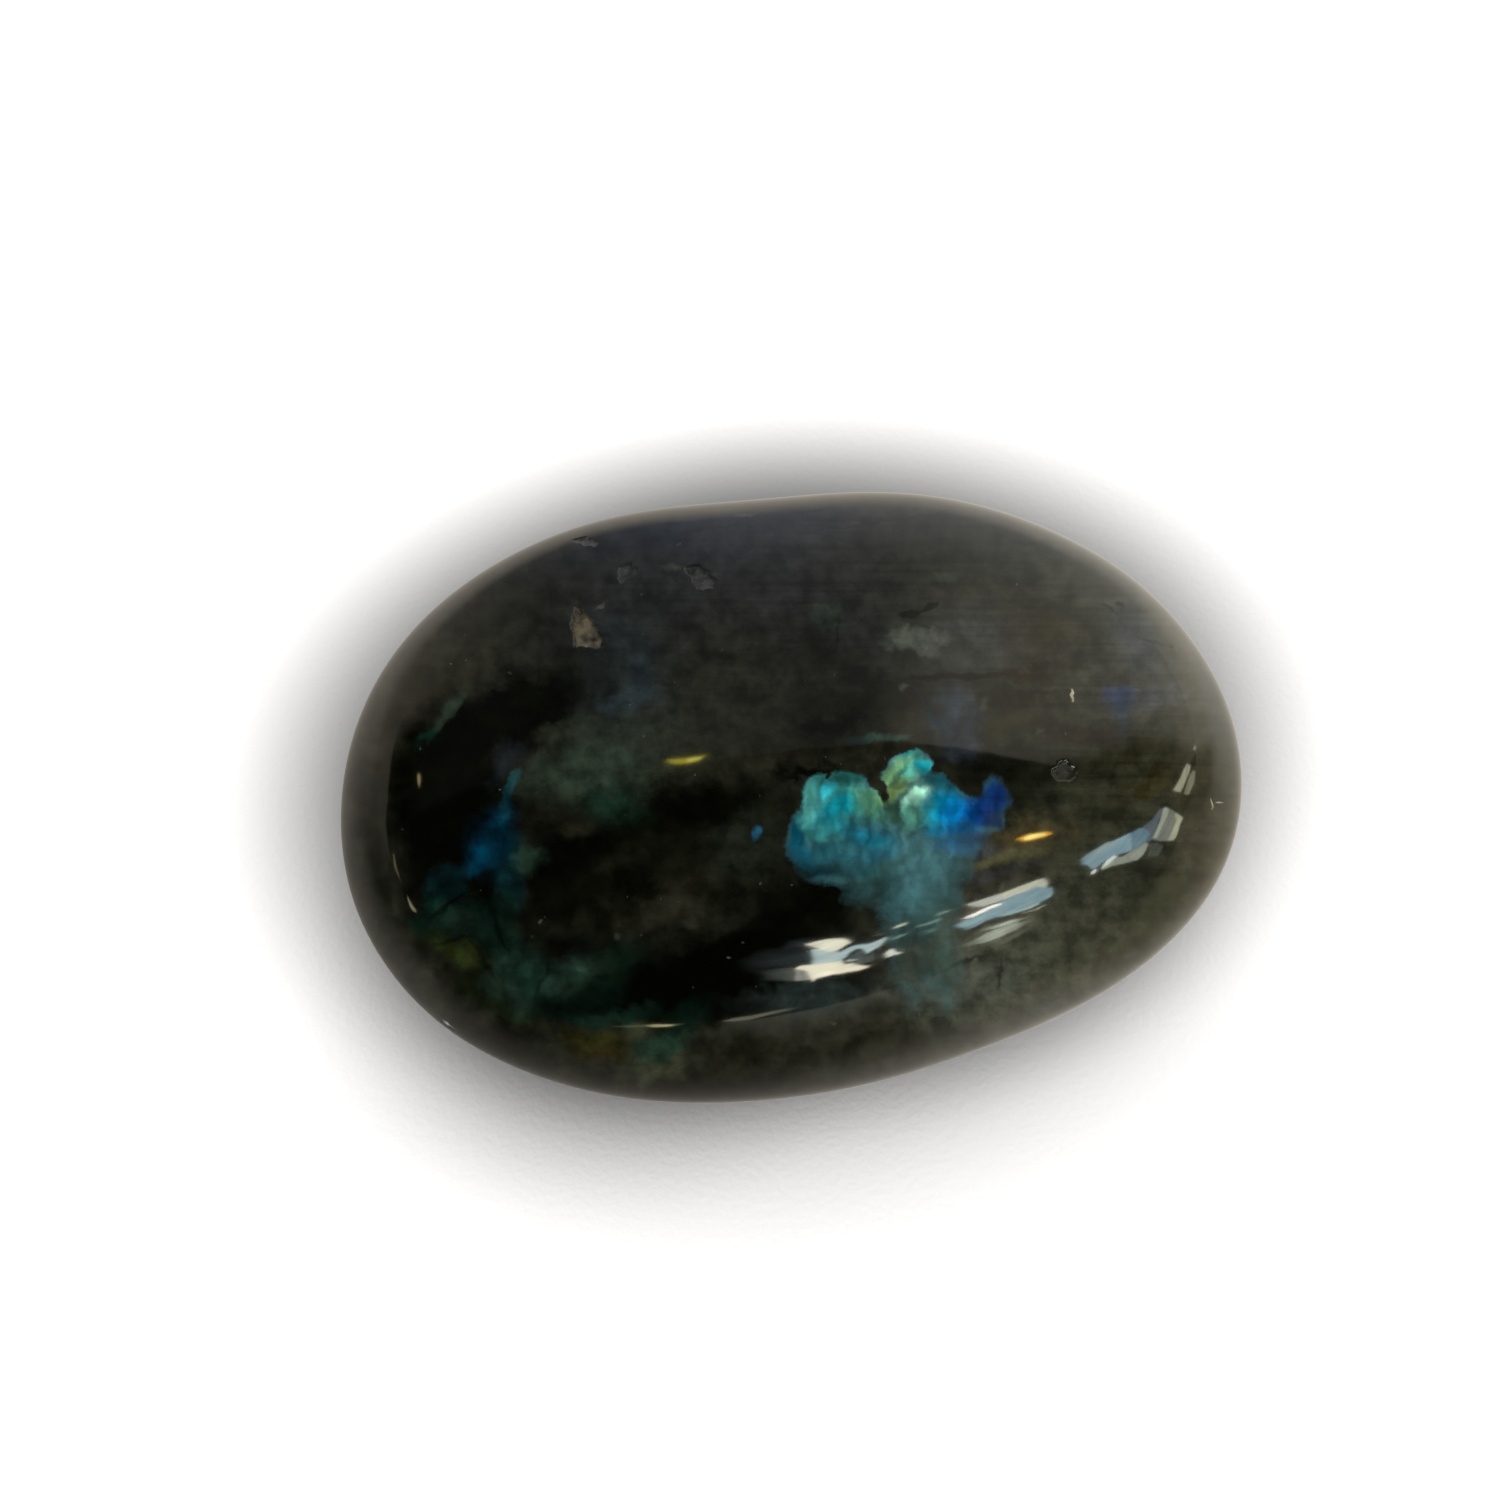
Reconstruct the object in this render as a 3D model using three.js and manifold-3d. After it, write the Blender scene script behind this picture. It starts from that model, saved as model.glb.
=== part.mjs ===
// Polished labradorite palm stone: one natural stone, ground and polished by hand to a
// rounded oval, with a few chips left where softer mineral broke out of the surface.
//
// Millimetres, +Z up. X runs along the stone, Y across it, and the origin is under the middle
// of the stone, on the small flat that it rests on.

import * as THREE from "three";
import { mergeVertices } from "three/addons/utils/BufferGeometryUtils.js";
import Module from "manifold-3d";

const wasm = await Module();
wasm.setup();

// Driving dimensions
const HALF_LENGTH = 35.2; // along X, at the girth
const HALF_WIDTH = 24.73; // along Y, at the girth
const CROWN = 18.1; // from the girth up to the top
const BELLY = 12.7; // from the girth down to where the underside would end if it were round
const REST_CUT = 0.45; // how much of the belly is ground away to the flat it rests on
const PLAN_FULLNESS = 0.024; // 0 is an ellipse seen from above, more is squarer
const SIDE_FULLNESS = 0.017; // the same, seen from the side
const TURN_OVER = 0.2; // how gradually the crown's curve gives way to the belly's
const FACE_ROWS = 17; // more rows give smaller facets

// The girth isn't a true oval: each wave swells it this far, towards this bearing.
const GIRTH_WAVES = [
  { count: 1, swell: 1.54, bearing: -164 }, // one end blunt, the other narrow
  { count: 3, swell: 0.22, bearing: 1.9 },
  { count: 4, swell: 0.29, bearing: -35.3 },
  { count: 5, swell: 0.21, bearing: -11.6 },
];

// Hand polishing leaves long, faint hollows and swells. Each is a wave through the stone.
const POLISH_WAVES = [
  { swell: 0.02, length: 17, heading: [0.8, 0.55, 0.25], start: 0.4 },
  { swell: 0.018, length: 13, heading: [-0.45, 0.85, 0.3], start: 1.9 },
  { swell: 0.012, length: 9.5, heading: [0.35, -0.3, 0.9], start: 3.1 },
];

// Chips. Seen from the girth's centre, bearing is the compass angle from +X and rise the angle
// above the girth. Each is a hollow with sloping walls and a flat floor, and its outline is
// drawn on the surface, east then north of the chip's middle.
const CHIPS = [
  // The long wedge where a pale, rusty grain broke out
  {
    bearing: 155.8,
    rise: 42.1,
    deep: 0.55,
    outline: [[-1.4, -1.6], [-1.4, -0.9], [-0.2, 1.1], [1.2, 2.5], [1.9, 0.4], [-0.2, -1.2]],
  },
  // Two frosted pits beside it
  {
    bearing: 124.9,
    rise: 54.7,
    deep: 0.35,
    outline: [[0.8, -1.5], [-0.1, -1.4], [-0.5, -0.6], [-1, 1], [-0.4, 1.6], [0.6, 1.1]],
  },
  {
    bearing: 136.4,
    rise: 42.7,
    deep: 0.3,
    outline: [[0, -1], [-0.8, -0.8], [-0.8, 0.3], [-0.1, 0.7], [0.8, 0.8], [0.8, 0.1]],
  },
  // A shallow flake near the girth
  {
    bearing: 131.4,
    rise: 29.4,
    deep: 0.25,
    outline: [[0.6, -1.4], [-0.3, -1.1], [-0.5, 1], [-0.2, 1.3], [0.3, 0.2]],
  },
  // A small crater at the other end
  {
    bearing: -28.2,
    rise: 35.6,
    deep: 0.3,
    outline: [[-0.6, 0.6], [0.3, 0.7], [0.8, 0.1], [0.7, -0.7], [-0.2, -0.7], [-0.9, 0.1]],
  },
  // A nick on the girth
  {
    bearing: -151,
    rise: -0.8,
    deep: 0.2,
    outline: [[-0.7, 0.1], [-0.1, -0.4], [0.7, 0.1], [0.1, 0.4]],
  },
];
const CHIP_FLOOR = 0.55; // the floor's size as a share of the mouth's

// How far out the curve lies that joins two half axes in one quarter turn: along and across are
// the direction's shares of the two, and fullness pushes the quarter's middle outwards.
function quarterReach(along, across, fullness) {
  const span = along ** 2 + across ** 2;
  const corner = (2 * along * across) / span;
  return (1 + fullness * corner ** 2) / Math.sqrt(span);
}

function girthRadius(angle) {
  const along = Math.cos(angle) / HALF_LENGTH;
  const across = Math.sin(angle) / HALF_WIDTH;
  let radius = quarterReach(along, across, PLAN_FULLNESS);
  for (const wave of GIRTH_WAVES) {
    const bearing = THREE.MathUtils.degToRad(wave.bearing);
    radius += wave.swell * Math.cos(wave.count * (angle - bearing));
  }
  return radius;
}

function polishSwell(point) {
  let swell = 0;
  for (const wave of POLISH_WAVES) {
    const heading = new THREE.Vector3(...wave.heading).normalize();
    const phase = (2 * Math.PI * point.dot(heading)) / wave.length + wave.start;
    swell += wave.swell * Math.sin(phase);
  }
  return swell;
}

// The surface point that lies in a direction from the girth's centre.
function onStone(direction) {
  const d = direction.clone().normalize();
  const crownShare = (1 + Math.tanh(d.z / TURN_OVER)) / 2;
  const bulge = THREE.MathUtils.lerp(BELLY, CROWN, crownShare);
  const level = Math.hypot(d.x, d.y) / girthRadius(Math.atan2(d.y, d.x));
  const point = d.clone().multiplyScalar(quarterReach(level, d.z / bulge, SIDE_FULLNESS));
  return point.addScaledVector(d, polishSwell(point));
}

function directionAt(bearing, rise) {
  const b = THREE.MathUtils.degToRad(bearing);
  const r = THREE.MathUtils.degToRad(rise);
  return new THREE.Vector3(Math.cos(r) * Math.cos(b), Math.cos(r) * Math.sin(b), Math.sin(r));
}

// East, north and outward at a place on the surface, as the columns of a turning matrix.
function levelAt(direction) {
  const step = 0.01;
  const place = onStone(direction);
  const eastward = new THREE.Vector3(-direction.y, direction.x, 0).multiplyScalar(step);
  const upward = new THREE.Vector3(0, 0, step);
  const toEast = onStone(direction.clone().add(eastward)).sub(place);
  const toNorth = onStone(direction.clone().add(upward)).sub(place);
  const outward = toEast.cross(toNorth).normalize();
  const east = new THREE.Vector3(0, 0, 1).cross(outward).normalize();
  return new THREE.Matrix4().makeBasis(east, outward.clone().cross(east), outward);
}

function toSolid(geometry) {
  const bare = geometry.clone();
  bare.deleteAttribute("normal");
  bare.deleteAttribute("uv");
  const merged = mergeVertices(bare, 1e-4);
  const mesh = new wasm.Mesh({
    numProp: 3,
    vertProperties: new Float32Array(merged.attributes.position.array),
    triVerts: new Uint32Array(merged.index.array),
  });
  return new wasm.Manifold(mesh);
}

function toGeometry(solid) {
  const mesh = solid.getMesh();
  const geometry = new THREE.BufferGeometry();
  geometry.setAttribute("position", new THREE.BufferAttribute(mesh.vertProperties, mesh.numProp));
  geometry.setIndex(new THREE.BufferAttribute(mesh.triVerts, 1));
  geometry.computeVertexNormals();
  return geometry;
}

// A ball whose every vertex is moved out or in to the stone's surface.
function roundedBody() {
  const ball = new THREE.IcosahedronGeometry(1, FACE_ROWS);
  const place = ball.attributes.position;
  for (let i = 0; i < place.count; i += 1) {
    const point = onStone(new THREE.Vector3().fromBufferAttribute(place, i));
    place.setXYZ(i, point.x, point.y, point.z);
  }
  return toSolid(ball);
}

// What is ground off the belly, to leave the flat that the stone rests on.
function restCutter() {
  const reach = 4 * HALF_LENGTH;
  const slab = new THREE.BoxGeometry(reach, reach, BELLY);
  slab.translate(0, 0, REST_CUT - BELLY - BELLY / 2);
  return toSolid(slab);
}

// A tapering plug that leaves one chip's hollow. It runs from the floor to as far above the
// surface as the floor lies below it, and widens by the same slope all the way.
function chipCutter(chip) {
  const shape = new THREE.Shape(chip.outline.map(([east, north]) => new THREE.Vector2(east, north)));
  const plug = new THREE.ExtrudeGeometry(shape, { depth: 2 * chip.deep, bevelEnabled: false });
  plug.translate(0, 0, -chip.deep);
  const place = plug.attributes.position;
  for (let i = 0; i < place.count; i += 1) {
    const height = place.getZ(i) / chip.deep;
    const spread = 1 + (1 - CHIP_FLOOR) * height;
    place.setXY(i, place.getX(i) * spread, place.getY(i) * spread);
  }
  const direction = directionAt(chip.bearing, chip.rise);
  plug.applyMatrix4(levelAt(direction));
  const middle = onStone(direction);
  plug.translate(middle.x, middle.y, middle.z);
  return toSolid(plug);
}

function labradorite() {
  let body = roundedBody().subtract(restCutter());
  for (const chip of CHIPS) body = body.subtract(chipCutter(chip));
  const geometry = toGeometry(body);
  geometry.computeBoundingBox();
  const middle = geometry.boundingBox.getCenter(new THREE.Vector3());
  geometry.translate(-middle.x, -middle.y, BELLY - REST_CUT);
  const polished = new THREE.MeshStandardMaterial({
    color: "#2f322c",
    roughness: 0.08,
    metalness: 0,
  });
  const mesh = new THREE.Mesh(geometry, polished);
  mesh.name = "labradorite";
  return mesh;
}

const stone = new THREE.Group();
stone.add(labradorite());

export default stone;
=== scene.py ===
"""A polished labradorite palm stone resting on white paper under soft window light."""

import math

import bmesh
import bpy
from mathutils import Matrix, Vector, noise


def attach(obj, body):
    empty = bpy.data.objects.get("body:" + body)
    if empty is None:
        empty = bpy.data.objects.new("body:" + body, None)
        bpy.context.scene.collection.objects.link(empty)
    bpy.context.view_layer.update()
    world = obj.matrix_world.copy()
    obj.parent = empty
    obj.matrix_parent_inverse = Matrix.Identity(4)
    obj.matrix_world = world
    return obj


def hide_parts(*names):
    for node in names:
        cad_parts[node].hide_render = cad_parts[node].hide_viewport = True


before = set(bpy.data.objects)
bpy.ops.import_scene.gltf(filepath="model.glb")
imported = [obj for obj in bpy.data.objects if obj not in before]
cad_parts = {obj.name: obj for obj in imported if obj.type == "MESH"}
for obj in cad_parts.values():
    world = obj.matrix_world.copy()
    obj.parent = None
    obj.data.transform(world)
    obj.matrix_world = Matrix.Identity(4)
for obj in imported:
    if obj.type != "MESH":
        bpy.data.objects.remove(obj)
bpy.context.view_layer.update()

bl_info = {
    "name": "Labradorite palm stone",
    "version": (1, 0, 0),
    "blender": (4, 5, 0),
    "location": "3D View > Sidebar > Palm stone",
    "description": "Makes a polished labradorite palm stone and the paper and light it is shown in",
    "category": "Add Mesh",
}

MM = 0.001
STONE_NODE = "labradorite"
STONE_PIECE = "polished_stone"

# The stone's form, in millimetres, measured from the middle of its girth
PLAN_FULLNESS = 0.024  # 0 is an ellipse seen from above, more is squarer
SIDE_FULLNESS = 0.017  # the same, seen from the side
TURN_OVER = 0.2  # how gradually the crown's curve gives way to the belly's
GIRTH_WAVES = (  # how many round the girth, how far out, towards which bearing
    (1, 1.54, -164.0),
    (3, 0.22, 1.9),
    (4, 0.29, -35.3),
    (5, 0.21, -11.6),
)
POLISH_WAVES = (  # swell, wavelength, heading, start
    (0.02, 17.0, (0.8, 0.55, 0.25), 0.4),
    (0.018, 13.0, (-0.45, 0.85, 0.3), 1.9),
    (0.012, 9.5, (0.35, -0.3, 0.9), 3.1),
)
BALL_STEPS = 7  # gives facets of about half a millimetre
CHIP_STEPS = 2  # each halves the facets again round a chip
REST_SOFTNESS = 0.12  # the worn edge round the flat that the stone rests on
HALVINGS = 30  # how often a line is halved to find where it meets the stone

# Chips: bearing, rise, depth, the fill's colour and the outline on the surface (east, north)
CHIPS = (
    # The long wedge where a pale, rusty grain broke out
    (155.8, 42.1, 0.50, "#4a432e",
     ((-1.42, -1.64), (-1.43, -0.95), (-0.17, 1.11), (1.24, 2.49), (1.93, 0.38), (-0.21, -1.22))),
    # Two frosted pits beside it
    (124.9, 54.7, 0.30, "#2c2d2f",
     ((0.8, -1.5), (-0.1, -1.4), (-0.5, -0.6), (-1.0, 1.0), (-0.4, 1.6), (0.6, 1.1), (0.6, -0.2))),
    (136.4, 42.7, 0.26, "#2a2b2d",
     ((0.0, -1.0), (-0.8, -0.8), (-0.8, 0.3), (-0.1, 0.7), (0.8, 0.8), (0.8, 0.1))),
    # A shallow flake near the girth
    (131.4, 29.4, 0.2, "#3a3a38",
     ((0.6, -1.4), (-0.3, -1.1), (-0.5, 1.0), (-0.2, 1.3), (0.3, 0.2))),
    # A small crater at the other end
    (-28.2, 35.6, 0.26, "#262214",
     ((-0.6, 0.6), (0.3, 0.7), (0.8, 0.1), (0.7, -0.7), (-0.2, -0.7), (-0.9, 0.1))),
    # A nick on the girth
    (-151.0, -0.8, 0.16, "#8a8c86",
     ((-0.7, 0.1), (-0.1, -0.4), (0.7, 0.1), (0.1, 0.4))),
)
CHIP_WALL = 0.22  # how wide a chip's sloping wall is
CHIP_LIP = 0.4  # the share of the wall's fall that lies outside the outline
CHIP_MARGIN = 1.0  # how far outside its outline a chip can still change the surface
CHIP_RAGS = (1.7, 0.22)  # rags in its outline: how many to a millimetre, and how far they reach
CHIP_GRAINS = ((3.1, 0.35), (8.3, 0.15))  # the same of the floor's grains, as a share of its depth
CHIP_PATCHES = (1.6, 1.1)  # the same of the fill's lighter and darker patches, as a share of its colour
CHIP_SEED = 1  # without a seed the rags would differ on each run
FINE_MARGIN = 0.8  # how far outside a chip's outline the facets are still finer

# Where the camera stands and what it looks at, in degrees and millimetres
FACE_AZIMUTH = -8.054
FACE_ELEVATION = 60.0
FACE_MIDDLE = Vector((0.0, 0.0, 15.0))
CAMERA_DISTANCE = 300.0
PICTURE_WIDTH = 115.54  # how much of the world it takes in at that distance
MIDDLE_RIGHT = 3.275  # how far right of the view's middle the stone's middle shows
MIDDLE_DOWN = 2.055  # and how far below it
SENSOR_WIDTH = 36.0

# Colours of the stone's own markings, and of the painted glows and reflections round the mirrored lamp,
# window and floor
PALETTE = {
    "face_olive": "#14150e", "void": "#010200", "dark_olive": "#0a0b05", "olive": "#1a1a12",
    "cloud_olive": "#191a14", "dusk_grey": "#18191b", "rim_olive": "#1d1d16", "mid_olive": "#2c2c22",
    "side_olive": "#27281c", "rim_grey": "#2c2c26", "low_olive": "#1c1c13", "gold_olive": "#12100a",
    "warm_grey": "#2a2821", "pale_olive": "#36372b", "mist_grey": "#454a41", "slab_grey": "#262727",
    "slate": "#1b2428", "blue_grey": "#252d38", "violet_grey": "#26304a", "tan": "#3a3424",
    "line_tan": "#41402b", "glint_glow_tan": "#3a3320", "umber": "#201b0c", "dark_umber": "#140a04",
    "rust_dark": "#110a00", "rust": "#2e1404", "dry_moss": "#1c1a0c", "ochre_dark": "#251f0a",
    "forest": "#161a13", "spot_blue": "#1a2b38", "spot_grey": "#363a3e", "window_glow_slate": "#1c2422",
    "dark_moss": "#141c0a", "sea_grey": "#202920", "bottle_green": "#10261c", "petrol_shade": "#02202c",
    "bone": "#4a4a40", "scratch": "#a09a80", "veil_teal": "#31565a", "veil_pale": "#385d60",
    "veil_dim": "#2d4746", "veil_grey": "#35433a", "veil_low": "#263430", "grey_teal": "#213a38",
    "billow": "#2f7472", "billow_top": "#1d514b", "billow_edge": "#458f88", "leaf": "#41745c",
    "leaf_light": "#347f6e", "cyan_deep": "#0e6775", "cyan_core": "#03757f", "cyan_light": "#2aa0aa",
    "teal_dim": "#25514e", "teal_low": "#246566", "fringe": "#053c4b", "lobe_cyan": "#125a6a",
    "lobe_blue": "#1b4d5a", "low_petrol": "#1c4a52", "low_teal": "#1e484d", "abyss": "#05242a",
    "lime": "#70a26c", "lime_gold": "#688046", "mint_light": "#4fa392", "mint_pale": "#93cfb4",
    "tip_teal": "#1c6a68", "tip_cyan": "#16919a", "shade_teal": "#0f3f46", "gap_green": "#243f30",
    "moss_pale": "#3c6f60", "aqua_edge": "#2f7a78", "azure_teal": "#08798e", "azure": "#007da2",
    "azure_low": "#0f5b73", "blue_core": "#0076b4", "blue_deep": "#003c74", "blue_night": "#052a5c",
    "navy_core": "#0a2652", "navy_grey": "#182440", "blue_low": "#0a4870", "haze_blue": "#25506a",
    "haze_night": "#263c51", "spot_cyan": "#1a4a60", "streak_sea": "#213830", "streak_petrol": "#14292d",
    "stem_teal": "#163a3a", "stem_petrol": "#05262f", "head_blue": "#001a25", "head_core": "#002434",
    "dim_slate": "#131719", "side_green": "#1c2c20", "leg_petrol": "#041a1c", "lobe_dark": "#05191b",
    "lobe_green": "#081d16", "lobe_sea": "#0d211a", "dim_pine": "#02140f", "moss_gold": "#191f0a",
    "moss_dim": "#12180a", "sage": "#1c2d22", "pine": "#0e2019", "pine_pale": "#14221b",
    "pine_dark": "#04110a", "floor_sheen_gold": "#20200a", "floor_sheen_olive": "#2a2d1f",
}

# Markings as the eye sees them on the face, and a few painted glows and reflections, as strokes:
# colour, strength, how far right of the face's middle and above it, half length and half width in
# millimetres, turn in degrees, and softness of the edge
CLOUDS = (
    ("face_olive", 0.75, 0.0, 0.0, 40.0, 30.0, 0, 0.2),
    ("olive", 0.8, -27.5, 9.5, 10.0, 4.5, 50, 0.9),
    ("dusk_grey", 0.8, -1.0, 15.5, 24.0, 6.5, 2, 0.9),
    ("dark_olive", 0.5, -20.0, 13.5, 5.0, 2.0, 25, 0.8),
    ("rim_olive", 0.8, 17.0, 14.0, 15.0, 6.5, -25, 0.9),
    ("mid_olive", 0.8, 23.5, 9.8, 7.5, 5.0, -45, 0.9),
    ("rim_grey", 0.8, 28.5, 7.0, 5.0, 5.0, -50, 0.9),
    ("pale_olive", 0.9, 19.5, -13.2, 15.0, 6.5, 28, 0.8),
    ("side_olive", 0.8, 24.5, -3.0, 8.0, 5.0, 20, 0.8),
    ("tan", 0.3, 32.0, -4.0, 5.0, 2.4, 80, 0.9),
    ("olive", 0.7, 27.8, -8.2, 3.0, 1.2, 40, 0.9),
    ("warm_grey", 0.6, 15.0, -8.5, 5.0, 2.2, 25, 0.9),
    ("cloud_olive", 0.85, -4.5, 7.5, 8.0, 4.2, 0, 0.9),
    ("cloud_olive", 0.7, -5.0, 3.0, 6.5, 1.6, 4, 0.9),
    ("slate", 0.4, -13.5, 7.8, 3.5, 4.0, 0, 0.9),
    ("dark_olive", 0.6, -17.0, 8.5, 3.5, 2.5, 0, 0.9),
    ("dark_olive", 0.9, -13.0, -6.5, 14.0, 6.5, 10, 0.7),
    ("void", 0.95, -26.5, -2.5, 9.0, 4.8, 97, 0.5),
    ("void", 0.95, -21.5, 5.0, 6.0, 2.6, 20, 0.6),
    ("olive", 0.6, -25.5, 8.0, 3.5, 1.6, 40, 0.9),
    ("sea_grey", 0.95, -15.6, 0.5, 4.8, 2.1, 8, 0.8),
    ("sea_grey", 0.45, -13.5, 3.8, 4.0, 1.0, 4, 0.9),
    ("bottle_green", 0.7, -13.5, -2.2, 2.2, 1.5, -10, 0.8),
    ("void", 0.9, -7.8, -2.3, 5.0, 1.7, 4, 0.8),
    ("void", 0.85, -14.5, -5.0, 5.5, 1.2, 14, 0.9),
    ("olive", 0.5, -3.4, 1.2, 3.4, 0.9, 0, 0.9),
    ("dark_olive", 0.8, -8.5, -5.5, 3.2, 1.6, 10, 0.9),
    ("forest", 0.85, -3.6, -5.3, 2.8, 2.1, 35, 0.9),
    ("olive", 0.8, -9.5, -10.0, 4.2, 1.7, 25, 0.8),
    ("olive", 0.4, -16.5, -3.4, 2.2, 0.9, 0, 0.9),
    ("dark_olive", 0.8, -17.5, -9.5, 4.5, 2.6, -8, 0.8),
    ("void", 0.8, -18.5, -7.6, 2.2, 0.9, 10, 0.9),
    ("void", 0.85, -12.6, -8.2, 2.0, 1.1, 10, 0.8),
    ("void", 0.7, -5.0, -9.0, 2.2, 1.0, 50, 0.9),
    ("void", 1.0, -6.0, -15.5, 12.5, 3.4, 12, 0.6),
    ("void", 0.9, 1.0, -9.8, 5.2, 2.4, 20, 0.7),
    ("void", 0.8, -4.5, -13.2, 5.0, 0.9, 22, 0.9),
    ("void", 0.9, -14.5, -17.8, 3.0, 0.9, 10, 0.8),
    ("void", 0.7, 0.5, -16.5, 5.5, 1.6, 12, 0.9),
    # A painted glow of the window's reflection, below it
    ("window_glow_slate", 0.8, 1.8, -16.5, 5.0, 0.8, 8, 0.9),
    ("low_olive", 0.9, 4.0, -20.6, 11.0, 1.9, 9, 0.8),
    ("dark_olive", 0.9, -7.0, -23.9, 7.5, 1.2, 2, 0.9),
    ("dark_olive", 0.8, -22.5, -20.8, 2.5, 1.4, -30, 0.9),
    ("dark_olive", 0.8, -32.5, -5.5, 6.0, 1.2, 98, 0.9),
    ("dark_olive", 0.6, 2.2, 9.0, 2.4, 1.5, 0, 0.9),
    ("dark_olive", 0.7, 4.2, 5.6, 4.4, 1.5, 2, 0.9),
    ("void", 0.95, 3.2, 3.9, 3.4, 1.0, 2, 0.8),
    ("gold_olive", 0.8, 0.2, 2.2, 3.2, 0.8, 3, 0.9),
    ("olive", 0.6, 8.5, 2.2, 4.4, 1.3, 0, 0.9),
    ("void", 0.85, 1.4, 0.3, 2.8, 0.6, -2, 0.8),
    ("dark_olive", 0.8, 16.5, 0.8, 3.6, 1.6, 0, 0.9),
    ("dark_olive", 0.6, 17.5, -2.0, 2.2, 1.2, 0, 0.9),
    ("dry_moss", 0.8, 17.5, 4.2, 3.4, 1.0, 0, 0.9),
    ("gold_olive", 0.8, 17.0, 5.8, 2.0, 0.6, 0, 0.9),
    ("void", 0.7, 17.6, 1.9, 1.6, 0.6, 0, 0.9),
    ("dark_umber", 0.85, 22.4, 3.3, 2.4, 0.8, -6, 0.9),
    ("dry_moss", 0.6, 25.6, 1.4, 3.2, 0.9, 14, 0.9),
    ("ochre_dark", 0.7, 27.5, -0.5, 2.0, 0.9, 20, 0.9),
    ("umber", 0.8, 19.4, 11.2, 2.6, 1.5, 6, 0.9),
    ("rust_dark", 0.85, 18.0, 7.8, 2.8, 0.7, 4, 0.9),
    ("rust_dark", 0.8, 18.6, 6.2, 1.9, 0.4, 8, 0.9),
    ("rust", 0.2, 18.2, 8.4, 1.4, 0.35, 8, 0.9),
    ("dry_moss", 0.7, 18.0, 13.3, 2.4, 0.4, 2, 0.9),
    ("blue_grey", 0.55, 12.6, 4.4, 1.6, 2.5, 12, 0.9),
    ("slab_grey", 0.8, 13.8, 10.6, 3.2, 2.6, 0, 0.8),
    ("sea_grey", 0.8, 2.7, 12.4, 1.0, 0.8, 0, 0.9),
    ("mist_grey", 0.55, 9.6, 10.6, 2.0, 0.9, 4, 0.7),
    ("sea_grey", 0.7, 11.4, 15.4, 1.0, 0.35, -28, 0.8),
    ("spot_blue", 0.8, 25.3, 5.7, 0.9, 0.9, 0, 0.8),
    ("blue_grey", 0.7, 25.6, 4.4, 0.7, 1.0, 0, 0.8),
    ("spot_grey", 0.7, 27.6, 6.0, 1.9, 0.7, 2, 0.8),
    ("slate", 0.7, -13.4, 5.7, 1.5, 0.8, 0, 0.8),
    ("slate", 0.6, -11.6, 7.4, 1.0, 1.6, 0, 0.9),
    ("mist_grey", 0.35, 14.5, -16.0, 5.0, 3.0, 10, 0.9),
    ("dark_moss", 0.7, 27.5, -11.2, 4.5, 1.2, 52, 0.9),
    # A painted glow round the reflection of the orange lamp
    ("glint_glow_tan", 0.8, 17.4, -4.8, 3.5, 1.0, 10, 0.9),
)
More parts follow.
